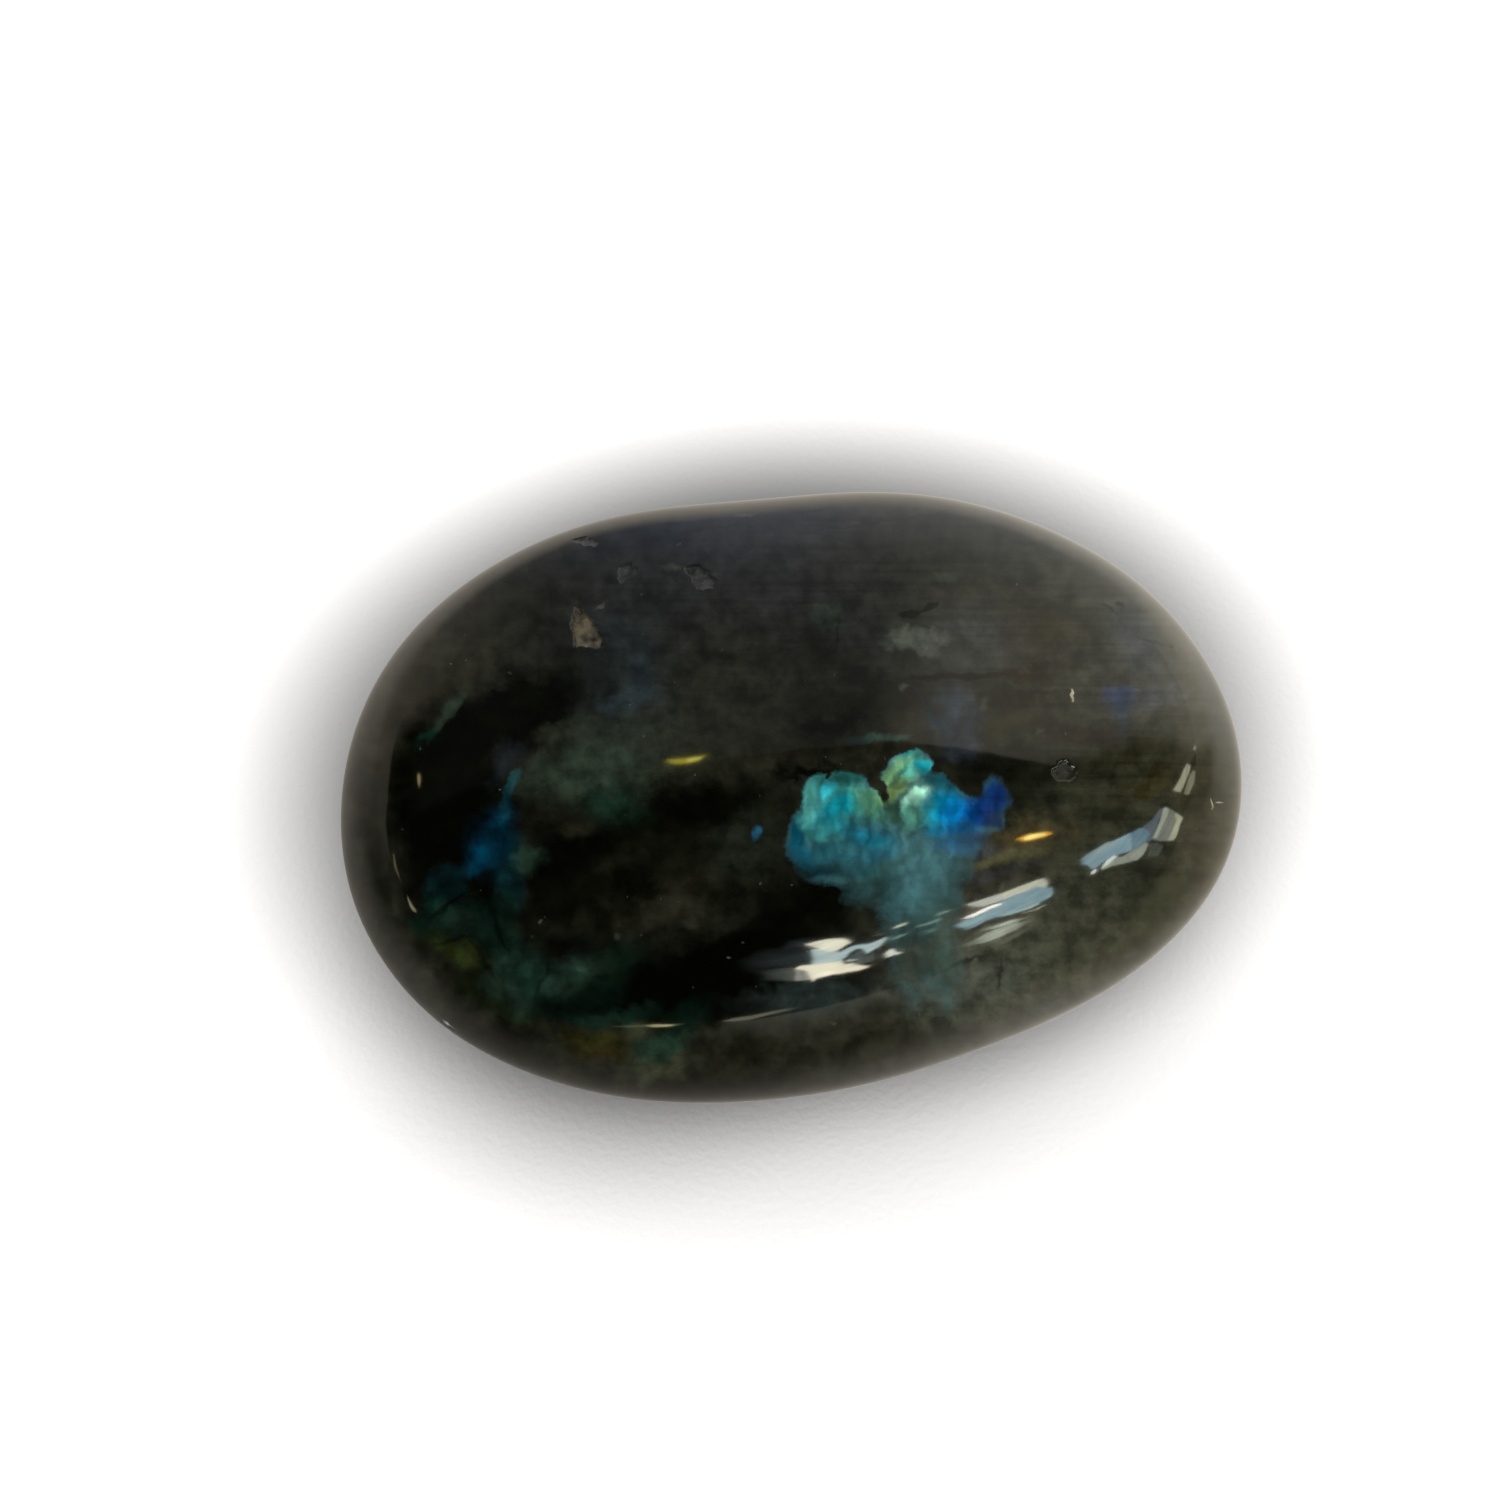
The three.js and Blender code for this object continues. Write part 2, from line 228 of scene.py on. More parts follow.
DIM_FLASHES = (
    # The dim flash at the left end
    ("dim_slate", 0.9, -21.5, 2.1, 0.9, 0.7, 0, 0.9),
    ("dim_slate", 0.9, -22.4, 0.6, 1.3, 0.5, 60, 0.9),
    ("head_blue", 1.0, -23.2, -4.9, 2.4, 1.6, 65, 0.8),
    ("head_core", 0.95, -23.9, -5.9, 1.5, 0.9, 60, 0.9),
    ("leg_petrol", 0.8, -21.2, -4.9, 0.8, 0.9, 0, 0.9),
    ("leg_petrol", 0.9, -21.0, -6.4, 1.4, 0.9, 10, 0.8),
    ("side_green", 0.95, -20.4, -6.4, 1.0, 0.9, 20, 0.9),
    ("leg_petrol", 0.9, -22.0, -8.3, 1.9, 1.1, 100, 0.8),
    ("lobe_dark", 1.0, -26.7, -8.6, 1.7, 1.3, 50, 0.6),
    ("lobe_green", 0.95, -27.7, -10.4, 1.7, 1.1, 60, 0.8),
    ("lobe_sea", 0.95, -25.9, -11.2, 2.4, 1.4, -10, 0.8),
    ("dim_pine", 0.85, -23.1, -11.0, 1.4, 1.6, 0, 0.8),
    ("moss_dim", 0.9, -27.5, -12.8, 1.3, 0.9, -20, 0.8),
    ("moss_gold", 1.0, -25.4, -13.6, 2.1, 1.1, -30, 0.8),
    ("moss_dim", 1.0, -24.4, -15.8, 2.0, 1.4, -50, 0.7),
    ("lobe_sea", 0.8, -22.8, -12.9, 1.1, 1.2, 0, 0.9),
    ("sage", 0.95, -22.3, -15.5, 1.5, 1.3, 20, 0.8),
    ("pine", 0.95, -20.6, -14.4, 1.4, 1.6, 10, 0.8),
    ("pine", 0.95, -19.5, -16.2, 2.4, 1.5, 0, 0.7),
    ("pine_pale", 0.95, -17.0, -15.1, 2.3, 1.3, 35, 0.8),
    ("pine_dark", 0.9, -13.8, -14.2, 2.4, 1.2, 25, 0.9),
    ("pine_dark", 0.9, -15.8, -16.8, 2.4, 1.0, 15, 0.9),
    ("pine_dark", 0.8, -18.6, -18.0, 2.2, 0.8, -5, 0.9),
    ("moss_dim", 0.8, -21.6, -18.0, 2.0, 0.9, -25, 0.9),
    ("void", 0.8, -23.9, -9.0, 0.7, 0.6, 0, 0.9),
    ("void", 0.6, -24.3, -12.3, 1.6, 0.2, -25, 0.9),
    # Below it, the flash's greens along the mirrored floor's edge, with painted reflections of that floor
    # in gold and olive
    ("pine", 0.8, -14.3, -19.0, 2.4, 0.7, -2, 0.8),
    ("floor_sheen_gold", 0.95, -14.7, -20.6, 2.8, 0.8, -5, 0.8),
    ("rust", 0.3, -14.6, -21.1, 1.5, 0.3, -6, 0.9),
    ("floor_sheen_olive", 0.9, -10.4, -22.5, 2.4, 0.9, 8, 0.9),
    ("sage", 0.9, -10.0, -20.7, 2.0, 1.0, 15, 0.8),
    ("pine_dark", 0.95, -8.4, -18.9, 1.9, 1.1, 40, 0.8),
    ("pine", 0.6, -12.6, -18.2, 1.8, 0.6, 5, 0.9),
    # A streak above it
    ("lobe_green", 0.85, -28.0, 3.3, 1.3, 0.45, 52, 0.8),
)
# Small ones with clearer edges
FINE_FLASHES = (
    ("stem_teal", 1.0, -21.6, -0.5, 1.1, 0.38, 66, 0.8),
    ("stem_petrol", 1.0, -22.2, -2.3, 1.5, 0.42, 72, 0.8),
    ("head_core", 0.7, -23.5, -4.2, 1.2, 0.7, 50, 0.9),
    ("sea_grey", 0.95, -26.3, 5.4, 1.7, 0.5, 50, 0.7),
    ("streak_sea", 0.95, 6.7, 2.98, 1.9, 0.32, 7, 0.7),
    ("streak_petrol", 0.95, 5.0, 2.72, 0.8, 0.3, 5, 0.8),
    ("spot_cyan", 1.0, -2.75, -4.4, 0.5, 0.4, 60, 0.7),
    ("head_core", 0.8, -22.4, -4.9, 0.9, 0.7, 30, 0.9),
    ("lobe_sea", 0.9, -22.2, -9.9, 1.1, 0.8, 100, 0.8),
    ("pine_pale", 0.85, -25.4, -11.3, 1.5, 0.9, -10, 0.8),
    ("pine", 0.85, -23.6, -11.5, 1.0, 1.0, 0, 0.8),
    ("pine", 0.85, -22.1, -12.4, 1.0, 1.4, 0, 0.8),
    ("void", 0.75, -18.0, -13.2, 2.4, 0.9, 8, 0.8),
    ("pine_dark", 0.8, -18.5, -14.7, 0.8, 0.7, 0, 0.8),
    ("sage", 0.65, -15.2, -14.5, 1.2, 0.7, 20, 0.9),
    ("sage", 0.65, -17.1, -16.2, 0.9, 0.7, 0, 0.9),
    ("sage", 0.6, -22.3, -16.3, 1.1, 0.8, 0, 0.9),
    ("pine_pale", 0.85, -20.5, -17.9, 1.2, 0.7, 0, 0.9),
    # Painted reflection of the floor near its mirrored edge
    ("floor_sheen_olive", 0.7, -12.0, -19.6, 1.2, 0.6, 10, 0.9),
    ("dry_moss", 0.75, -15.0, -21.2, 1.8, 0.7, -5, 0.9),
    ("void", 0.7, -26.4, -9.8, 2.0, 0.22, 40, 0.8),
    ("void", 0.6, -23.9, -14.1, 1.7, 0.2, -58, 0.8),
    ("void", 0.6, -22.6, -12.0, 1.8, 0.18, -68, 0.8),
    ("void", 0.5, -19.2, -15.6, 1.3, 0.18, 70, 0.8),
    ("void", 0.5, -26.2, -12.6, 1.6, 0.18, 10, 0.8),
    ("dark_olive", 0.8, 3.4, 2.4, 2.8, 0.9, 0, 0.8),
    # A painted glow of the window's reflection, below it
    ("window_glow_slate", 0.8, 2.0, -17.5, 3.0, 0.8, 8, 0.9),
    ("dark_olive", 0.6, 6.8, -17.7, 1.8, 0.7, 10, 0.9),
    ("violet_grey", 0.75, 25.2, 6.2, 1.1, 0.7, 0, 0.8),
    ("tan", 0.45, 29.3, 10.5, 3.4, 0.9, -58, 0.8),
    ("spot_grey", 0.45, 26.4, 10.6, 3.0, 1.4, -60, 0.8),
    ("line_tan", 0.9, 16.5, -6.2, 3.2, 0.42, 12, 0.9),
    ("slab_grey", 0.7, 15.2, -7.5, 3.0, 0.4, 12, 0.9),
    ("spot_grey", 0.5, 14.6, -5.9, 1.2, 0.35, 10, 0.9),
)
# Where the bright flash is: how much of it, then a stroke as above
FLASH_SHAPES = (
    # The pale veil below the billows
    (0.76, 10.2, -6.2, 3.6, 2.2, 0, 0.8),
    (0.78, 10.0, -8.8, 3.7, 3.1, 90, 0.7),
    (0.62, 6.6, -8.4, 2.6, 1.6, 20, 0.9),
    (0.66, 9.4, -12.8, 3.0, 2.2, 85, 0.9),
    (0.6, 11.6, -14.4, 3.6, 1.6, 94, 0.9),
    (0.45, 9.2, -15.2, 2.8, 1.3, 88, 0.9),
    # The left billow
    (0.82, 2.9, -5.6, 3.0, 1.7, -6, 0.85),
    (0.82, 5.8, -6.2, 2.4, 1.7, 8, 0.8),
    (0.6, 3.6, -7.6, 2.8, 0.9, -2, 0.9),
    (0.85, 0.5, -4.7, 1.9, 0.8, 95, 0.85),
    (1.0, 1.9, -2.0, 2.1, 1.1, 86, 0.6),
    (1.0, 2.4, -0.8, 0.9, 0.8, 0, 0.6),
    (1.05, 4.4, -1.1, 1.9, 1.5, -15, 0.5),
    (1.05, 5.7, -2.1, 1.9, 1.2, -55, 0.35),
    (1.05, 3.1, -3.5, 2.6, 1.9, 22, 0.35),
    (1.0, 6.3, -4.4, 2.3, 1.5, -18, 0.5),
    # The right billow
    (0.95, 9.1, 0.9, 1.0, 0.8, 90, 0.7),
    (1.05, 8.6, 0.0, 2.5, 1.45, 42, 0.35),
    (1.05, 9.3, -2.3, 2.0, 1.6, 60, 0.4),
    (0.8, 11.0, -0.4, 0.9, 0.7, -30, 0.7),
    (0.9, 11.7, -1.3, 1.0, 0.8, -20, 0.6),
    (1.05, 12.3, -2.8, 2.0, 1.7, -20, 0.35),
    (0.95, 14.0, -3.2, 1.3, 1.5, 0, 0.7),
    (0.9, 15.6, -1.7, 1.6, 0.95, 98, 0.8),
    (0.7, 14.8, -3.9, 1.4, 0.9, 40, 0.8),
    (0.8, 12.6, -5.0, 2.2, 1.0, -6, 0.8),
    # The dark gap between the two
    (0.2, 6.85, -0.9, 1.3, 0.5, 112, 0.7),
    (0.75, 7.7, -3.0, 1.0, 0.5, 112, 0.7),
    (0.2, 2.95, 0.2, 0.5, 0.2, 75, 0.7),
)
FLASH_COLOURS = (
    ("veil_pale", 0.9, 10.0, -7.6, 2.6, 3.2, 0, 0.9),
    ("veil_dim", 0.8, 12.8, -8.0, 1.4, 2.6, 0, 0.9),
    ("veil_grey", 0.9, 11.8, -13.2, 3.6, 1.8, 94, 0.8),
    ("veil_low", 0.9, 8.9, -13.4, 2.8, 1.7, 90, 0.8),
    ("grey_teal", 0.9, 5.8, -8.6, 2.2, 1.6, 10, 0.8),
    ("billow", 1.0, 2.8, -2.3, 2.9, 2.5, 30, 0.6),
    ("billow_top", 1.0, 4.0, 0.2, 2.3, 0.8, 0, 0.8),
    ("billow_top", 0.8, 2.1, -0.7, 0.7, 0.6, 20, 0.8),
    ("leaf_light", 0.9, 4.9, -1.8, 1.4, 0.8, -20, 0.8),
    ("leaf", 1.0, 6.1, -2.1, 1.5, 0.8, -52, 0.7),
    ("billow_edge", 0.95, 1.4, -2.5, 1.9, 0.5, 92, 0.8),
    ("cyan_deep", 0.95, 3.2, -3.2, 1.5, 0.9, 15, 0.8),
    ("cyan_core", 0.95, 3.7, -2.3, 1.2, 0.9, 25, 0.7),
    ("cyan_light", 0.95, 2.8, -1.0, 0.6, 0.45, 40, 0.8),
    ("teal_dim", 0.9, 5.4, -3.2, 1.7, 0.5, -4, 0.9),
    ("teal_low", 0.9, 2.1, -4.2, 1.5, 0.8, 5, 0.9),
    ("fringe", 1.0, 0.3, -4.7, 1.7, 0.6, 96, 0.7),
    ("lobe_cyan", 0.95, 5.7, -4.7, 2.0, 0.9, -14, 0.8),
    ("teal_dim", 0.8, 3.6, -5.0, 0.9, 0.6, 0, 0.9),
    ("low_petrol", 0.95, 2.5, -6.1, 2.7, 0.8, 0, 0.8),
    ("fringe", 0.8, 0.9, -6.4, 1.4, 0.6, -50, 0.9),
    ("lobe_blue", 0.9, 6.4, -6.0, 1.5, 0.6, 8, 0.9),
    ("low_teal", 0.9, 5.1, -7.0, 1.5, 0.6, 0, 0.9),
    ("abyss", 0.95, 2.0, -7.3, 1.9, 0.5, -5, 0.9),
    ("tip_teal", 1.0, 9.1, 1.6, 0.8, 0.5, 0, 0.8),
    ("lime", 1.0, 8.1, -0.2, 2.0, 0.9, 45, 0.7),
    ("lime_gold", 0.95, 8.0, -1.1, 1.1, 0.5, 40, 0.8),
    ("mint_light", 0.95, 9.2, 0.5, 1.1, 0.55, 28, 0.8),
    ("tip_cyan", 1.0, 10.1, 0.8, 0.6, 0.5, -50, 0.7),
    ("shade_teal", 0.95, 11.2, -0.2, 0.9, 0.6, -30, 0.8),
    ("mint_pale", 1.0, 9.5, -1.7, 1.3, 1.1, 60, 0.7),
    ("moss_pale", 1.0, 9.2, -3.1, 1.1, 0.8, 70, 0.8),
    ("aqua_edge", 0.9, 10.4, -2.7, 0.6, 1.1, 0, 0.9),
    ("gap_green", 0.95, 7.8, -2.7, 1.3, 0.5, 105, 0.8),
    ("azure_teal", 1.0, 11.3, -2.5, 1.4, 0.8, 85, 0.8),
    ("shade_teal", 0.9, 12.3, -0.9, 0.7, 0.4, -30, 0.9),
    ("azure", 1.0, 12.1, -2.0, 0.9, 0.7, 0, 0.8),
    ("blue_core", 1.0, 12.5, -2.9, 1.15, 0.95, 0, 0.7),
    ("blue_deep", 1.0, 13.9, -2.8, 0.9, 1.4, 0, 0.8),
    ("blue_night", 1.0, 14.7, -2.7, 0.8, 1.3, 0, 0.8),
    ("navy_core", 1.0, 15.7, -1.6, 1.1, 1.4, 0, 0.7),
    ("navy_grey", 0.9, 15.5, -3.3, 0.8, 0.7, 0, 0.9),
    ("azure_low", 0.95, 11.2, -4.1, 0.9, 0.6, 0, 0.9),
    ("blue_low", 0.95, 12.8, -4.2, 1.3, 0.6, -5, 0.9),
    ("haze_blue", 0.95, 12.5, -5.2, 1.5, 0.7, -5, 0.9),
    ("haze_night", 0.9, 14.1, -5.0, 1.0, 0.6, 0, 0.9),
    # Shaded valleys between its folds
    ("shade_teal", 0.7, 9.7, -0.5, 1.6, 0.26, 10, 0.9),
    ("gap_green", 0.7, 8.4, -1.6, 1.0, 0.26, 55, 0.9),
    ("moss_pale", 0.6, 8.5, 0.5, 1.5, 0.16, 50, 0.9),
    ("gap_green", 0.5, 7.9, -0.5, 1.2, 0.14, 50, 0.9),
    ("fringe", 0.4, 4.4, -3.8, 1.1, 0.3, 40, 0.9),
    ("fringe", 0.3, 3.4, -5.3, 2.0, 0.3, 10, 0.9),
    ("billow_top", 0.4, 4.4, -0.5, 1.0, 0.25, 8, 0.9),
    ("gap_green", 0.4, 8.0, -6.5, 1.8, 0.3, 24, 0.9),
)
MARKS = (
    ("void", 0.95, 9.2, 12.5, 1.1, 0.3, 14, 0.5),
    ("void", 0.95, 10.7, 13.0, 0.6, 0.3, 25, 0.5),
    ("dark_olive", 0.7, 11.4, 14.7, 0.7, 0.3, 0, 0.7),
    ("void", 0.95, 12.6, 7.7, 3.7, 0.28, 3, 0.6),
    ("rust_dark", 0.6, 17.0, 7.9, 2.4, 0.22, -2, 0.8),
    ("dark_olive", 0.6, -6.3, 9.2, 2.8, 0.4, -3, 0.9),
    ("petrol_shade", 0.7, 10.7, 4.7, 2.4, 0.13, -52, 0.7),
    ("void", 0.6, 13.2, -14.4, 1.9, 0.16, 18, 0.8),
    ("void", 0.45, 16.0, -15.0, 1.3, 0.14, 86, 0.8),
    ("void", 0.5, 7.7, 19.8, 6.2, 0.1, 10, 0.8),
    ("void", 0.45, 2.2, 20.6, 2.5, 0.08, 11, 0.8),
    ("void", 0.4, -6.7, 19.0, 5.2, 0.1, 7, 0.8),
    ("void", 0.5, 3.4, 10.8, 0.9, 0.12, 88, 0.8),
    ("void", 0.7, 20.7, 18.4, 0.8, 0.13, -20, 0.6),
    ("void", 0.55, 18.1, 18.1, 0.9, 0.12, -8, 0.7),
    ("void", 0.5, 18.7, 17.8, 0.4, 0.1, -30, 0.7),
    ("void", 0.45, 15.9, 18.6, 0.5, 0.12, -10, 0.8),
    ("void", 0.8, 25.3, 13.3, 0.35, 0.2, -30, 0.6),
    ("dark_olive", 0.7, 24.4, 12.8, 0.8, 0.15, -40, 0.8),
    ("void", 0.8, 29.0, 10.0, 0.2, 0.13, 0, 0.6),
    ("void", 0.5, 27.6, 10.4, 1.2, 0.07, -22, 0.7),
    ("scratch", 0.9, 21.6, 6.4, 0.45, 0.14, 105, 0.5),
    ("scratch", 0.8, 32.2, -1.95, 0.5, 0.08, 100, 0.6),
    ("scratch", 0.8, 32.85, -2.05, 0.28, 0.08, -10, 0.6),
    ("bone", 0.3, 19.1, 3.4, 0.25, 0.2, 0, 0.8),
    ("bone", 0.35, 8.6, 6.9, 0.3, 0.2, 0, 0.8),
    ("bone", 0.3, 14.9, 5.6, 0.6, 0.3, 30, 0.9),
    ("bone", 0.5, -19.3, -11.2, 0.15, 0.13, 0, 0.9),
    ("bone", 0.3, -20.2, -12.2, 0.13, 0.11, 0, 0.9),
    ("bone", 0.3, -13.5, -12.3, 0.3, 0.25, 0, 0.9),
    ("bone", 0.2, -7.9, -11.4, 0.7, 0.35, 10, 0.9),
    ("bone", 0.5, 3.1, -19.1, 0.18, 0.15, 0, 0.9),
    ("bone", 0.35, 16.2, -8.5, 0.2, 0.2, 0, 0.8),
    ("bone", 0.3, -9.4, 16.1, 0.7, 0.2, 5, 0.8),
    ("bone", 0.3, -14.8, 13.2, 0.4, 0.12, 40, 0.8),
    ("bone", 0.35, -3.6, 20.3, 0.6, 0.15, 5, 0.8),
)

# Reflected things: the name, the colour as it shows in the gloss, and its outline as it shows on
# the face, in mm right of the face's middle and above it. A corner's third number is how strongly
# it shows there, and 1 where there is none. Later ones stand before earlier ones.
REFLECTIONS = (
    ("window_a_glow", "#24292a", (
        (-4.6, -14.2, 0), (-2.6, -13.2, 0), (1.0, -12.9, 0.2), (1.5, -13.6, 1), (1.5, -14.5, 1),
        (-0.6, -15.0, 0.3), (-3.6, -15.2, 0))),
    ("window_a_above", "#23282a", (
        (-1.0, -13.3, 0.2), (1.2, -13.1, 1), (2.0, -12.7, 0.7), (1.0, -12.4, 0), (-0.6, -12.6, 0))),
    ("window_a_wash", "#3a3f3c", (
        (-3.0, -15.0, 0), (-0.4, -14.75, 1), (-0.4, -15.75, 1), (-2.4, -15.75, 0))),
    ("window_a_wash_bright", "#4c4e46", (
        (-0.9, -14.78, 0), (0.15, -14.75, 1), (0.2, -15.78, 1), (-0.8, -15.82, 0))),
    ("window_a_streaks", "#8b8d84", ((0.1, -14.8), (1.1, -14.9), (1.3, -15.65), (0.2, -15.78))),
    ("window_a_streak_dark", "#45463f", ((0.62, -14.95), (0.72, -14.95), (0.86, -15.65), (0.78, -15.68))),
    ("window_a_body", "#aabcb8", (
        (1.35, -13.3), (3.2, -13.35), (3.45, -13.5), (3.7, -13.9), (3.7, -14.6), (1.5, -14.6),
        (1.6, -14.0))),
    ("window_a_arm", "#a4b9b8", (
        (3.2, -13.8), (3.7, -13.4), (4.3, -13.15), (5.2, -12.93), (6.0, -12.83), (6.7, -12.55),
        (7.1, -12.35), (6.95, -12.7), (6.5, -13.15), (6.0, -13.45), (5.7, -13.7), (5.4, -13.45),
        (5.1, -13.25), (4.7, -13.3), (4.3, -13.55), (4.0, -13.95), (3.6, -14.05))),
    ("window_a_hook", "#424b48", (
        (4.1, -14.0), (5.05, -13.4), (5.6, -13.85), (6.3, -13.5), (6.2, -14.2), (5.3, -14.4),
        (4.5, -14.35))),
    ("window_a_top", "#dedcc5", (
        (0.95, -12.97), (1.8, -12.75), (2.7, -12.6), (3.5, -12.52), (4.0, -12.62), (4.35, -12.85),
        (3.9, -13.02), (3.4, -13.32), (3.0, -13.45), (2.2, -13.42), (1.6, -13.2))),
    ("window_a_bottom", "#e6e0c6", (
        (0.05, -14.78), (0.55, -14.55), (1.5, -14.45), (3.6, -14.25), (3.85, -14.5), (4.5, -14.38),
        (5.0, -14.58), (5.8, -14.6), (5.75, -14.72), (5.0, -14.95), (4.0, -15.1), (3.0, -15.2),
        (2.3, -15.4), (1.65, -15.6), (1.4, -15.85), (1.2, -15.6), (1.05, -15.0), (0.6, -14.88))),
    ("window_a_squiggle", "#a9b8b6", ((3.8, -14.3), (4.25, -14.08), (4.9, -14.12), (4.4, -14.26))),
    ("window_a_bit", "#d2d2c4", (
        (7.0, -13.7), (7.3, -13.37), (7.7, -13.32), (8.0, -13.5), (8.5, -13.55), (8.2, -13.68),
        (7.7, -13.75), (7.2, -13.95))),
    ("window_a_fork", "#4c5653", (
        (7.0, -12.45), (7.7, -12.4), (7.95, -12.55), (7.5, -12.68), (7.15, -12.6))),
    ("window_a_smear", "#3c3c33", ((5.9, -12.4), (6.5, -12.08), (7.0, -12.1), (6.6, -12.3))),
    ("dash_1", "#aeb39c", (
        (7.65, -11.65), (8.0, -11.43), (8.6, -11.3), (8.68, -11.4), (8.3, -11.58), (7.9, -11.68))),
    ("dash_2", "#6b837d", ((7.75, -12.42), (8.3, -12.18), (8.75, -12.15), (8.4, -12.35), (8.0, -12.5))),
    ("dash_3", "#5c7567", (
        (9.7, -11.5), (10.5, -11.22), (11.25, -11.0), (11.3, -11.12), (10.6, -11.38), (9.8, -11.58))),
    ("dash_4", "#6f8172", ((10.8, -10.76), (11.5, -10.48), (12.1, -10.3), (12.1, -10.42), (11.2, -10.75))),
    ("dash_5", "#48605a", ((10.1, -11.9), (10.85, -11.65), (10.9, -11.85), (10.4, -12.1))),
    ("window_b_wash", "#3c3c32", (
        (12.3, -13.6, 0), (13.4, -12.4, 0.6), (14.8, -11.5, 1), (17.8, -10.8, 0.6), (19.6, -10.1, 0),
        (18.8, -11.4, 0), (16.4, -12.5, 0.6), (14.4, -13.3, 0.6))),
    ("window_b_band", "#98a092", (
        (13.0, -13.1, 0), (14.2, -12.45, 0.8), (15.4, -11.85, 1), (17.2, -11.3, 0.7), (18.4, -11.1, 0),
        (17.4, -11.7, 0.4), (16.0, -12.35, 1), (14.6, -12.85, 0.9))),
    ("window_b_band_top", "#a6ada2", (
        (14.2, -11.95, 0), (15.3, -11.55, 1), (16.6, -11.2, 1), (18.2, -10.8, 0), (16.8, -11.4, 0.7),
        (15.4, -11.75, 1))),
    ("window_b_band_low", "#4f5046", (
        (15.4, -12.9, 0), (17.0, -12.2, 1), (18.6, -11.5, 0), (17.4, -12.3, 0.6), (16.2, -12.9, 0.6))),
    ("window_b_gap", "#44423a", (
        (13.5, -10.1), (14.4, -10.0), (15.0, -9.95), (14.0, -10.45), (13.3, -10.6))),
    ("window_b_top", "#a9aca2", (
        (13.3, -9.9), (14.0, -9.65), (15.0, -9.3), (16.0, -9.0), (16.4, -9.4), (15.4, -9.8),
        (14.6, -10.05), (14.0, -10.1), (13.6, -10.0))),
    ("window_b_top_bright", "#b5b6a3", (
        (16.0, -9.0), (17.0, -8.65), (18.0, -8.3), (18.8, -7.98), (19.3, -7.9), (19.5, -8.15),
        (19.45, -8.6), (18.8, -8.55), (18.0, -8.8), (17.0, -9.2), (16.3, -9.5))),
    ("window_b_sky", "#738f98", (
        (12.3, -11.5), (13.0, -11.15), (14.0, -10.8), (15.0, -10.35), (16.0, -9.6), (17.0, -9.15),
        (18.0, -8.8), (18.8, -8.5), (19.4, -8.6), (19.9, -8.6), (19.95, -8.95), (19.8, -9.3),
        (19.0, -9.7), (18.0, -10.1), (17.0, -10.4), (16.0, -10.7), (15.0, -11.1), (14.3, -11.45),
        (13.5, -11.75), (13.3, -11.6), (12.6, -11.6))),
    ("window_b_left_sky", "#7f9ea1", (
        (12.9, -11.2), (14.2, -10.85), (15.2, -10.4), (14.6, -10.95), (13.6, -11.4), (13.0, -11.45))),
    ("window_b_low_edge", "#8fa9a4", (
        (15.5, -10.9), (17.0, -10.37), (18.0, -10.05), (19.0, -9.67), (19.1, -9.78), (18.2, -10.2),
        (17.2, -10.52), (16.2, -10.85))),
    ("window_b_rim", "#8f8f80", (
        (17.6, -10.52), (18.5, -10.3), (19.4, -9.85), (19.5, -9.85), (18.9, -10.27), (18.0, -10.5))),
    ("window_b_streak", "#fffdf0", (
        (13.1, -10.9), (13.4, -10.75), (14.0, -10.47), (15.0, -10.05), (15.7, -9.83), (15.95, -9.8),
        (15.9, -9.92), (15.2, -10.23), (14.4, -10.58), (13.7, -10.88), (13.3, -10.98))),
    ("window_c_frame", "#434e59", (
        (26.9, -4.0), (27.7, -3.3), (28.25, -2.55), (28.5, -2.5), (28.1, -3.6), (27.5, -5.0),
        (27.1, -5.1))),
    ("window_c_sky", "#6f8a96", (
        (22.2, -6.4), (22.5, -6.15), (23.0, -5.8), (24.0, -5.25), (25.0, -4.85), (26.0, -4.45),
        (26.0, -5.8), (25.2, -6.05), (24.5, -6.2), (24.0, -6.5), (23.6, -6.9), (23.3, -7.1),
        (22.9, -7.2), (22.6, -6.95), (22.25, -6.8))),
    ("window_c_sky_deep", "#526d7c", (
        (26.0, -4.45), (26.7, -4.05), (27.15, -4.1), (27.4, -4.5), (27.2, -5.0), (26.6, -5.5),
        (26.0, -5.8))),
    ("window_c_bar", "#7f9191", (
        (24.0, -5.3), (25.0, -4.88), (25.9, -4.55), (24.8, -5.2), (24.0, -5.75), (23.2, -6.1),
        (22.6, -6.3), (23.0, -5.85))),
    ("window_c_tip", "#ccd5cf", (
        (22.8, -7.55), (23.1, -7.22), (23.35, -7.2), (23.35, -7.35), (23.1, -7.55))),
    ("window_c_border", "#81867b", (
        (23.7, -7.15), (23.9, -6.9), (24.2, -6.45), (24.7, -6.25), (25.3, -6.25), (26.0, -5.85),
        (26.7, -5.45), (27.1, -5.12), (27.3, -5.2), (27.2, -5.6), (26.9, -6.1), (26.5, -6.5),
        (25.5, -6.8), (24.6, -6.95), (24.1, -7.15), (23.85, -7.25))),
    ("window_c_border_end", "#bccac2", (
        (24.1, -6.5), (24.6, -6.15), (25.0, -6.2), (24.7, -6.4), (24.3, -6.8), (23.8, -7.15),
        (23.75, -7.05))),
    ("window_c_border_line", "#6f736a", ((25.6, -6.05), (25.7, -6.0), (26.0, -6.7), (25.92, -6.72))),
    ("window_c_low", "#353835", ((27.3, -5.3), (28.0, -5.2), (28.5, -5.5), (28.1, -6.2), (27.3, -6.3))),
    ("window_c_pane", "#666a62", (
        (27.5, -4.9), (27.9, -4.2), (28.25, -3.5), (28.45, -2.6), (28.6, -2.45), (29.1, -2.65),
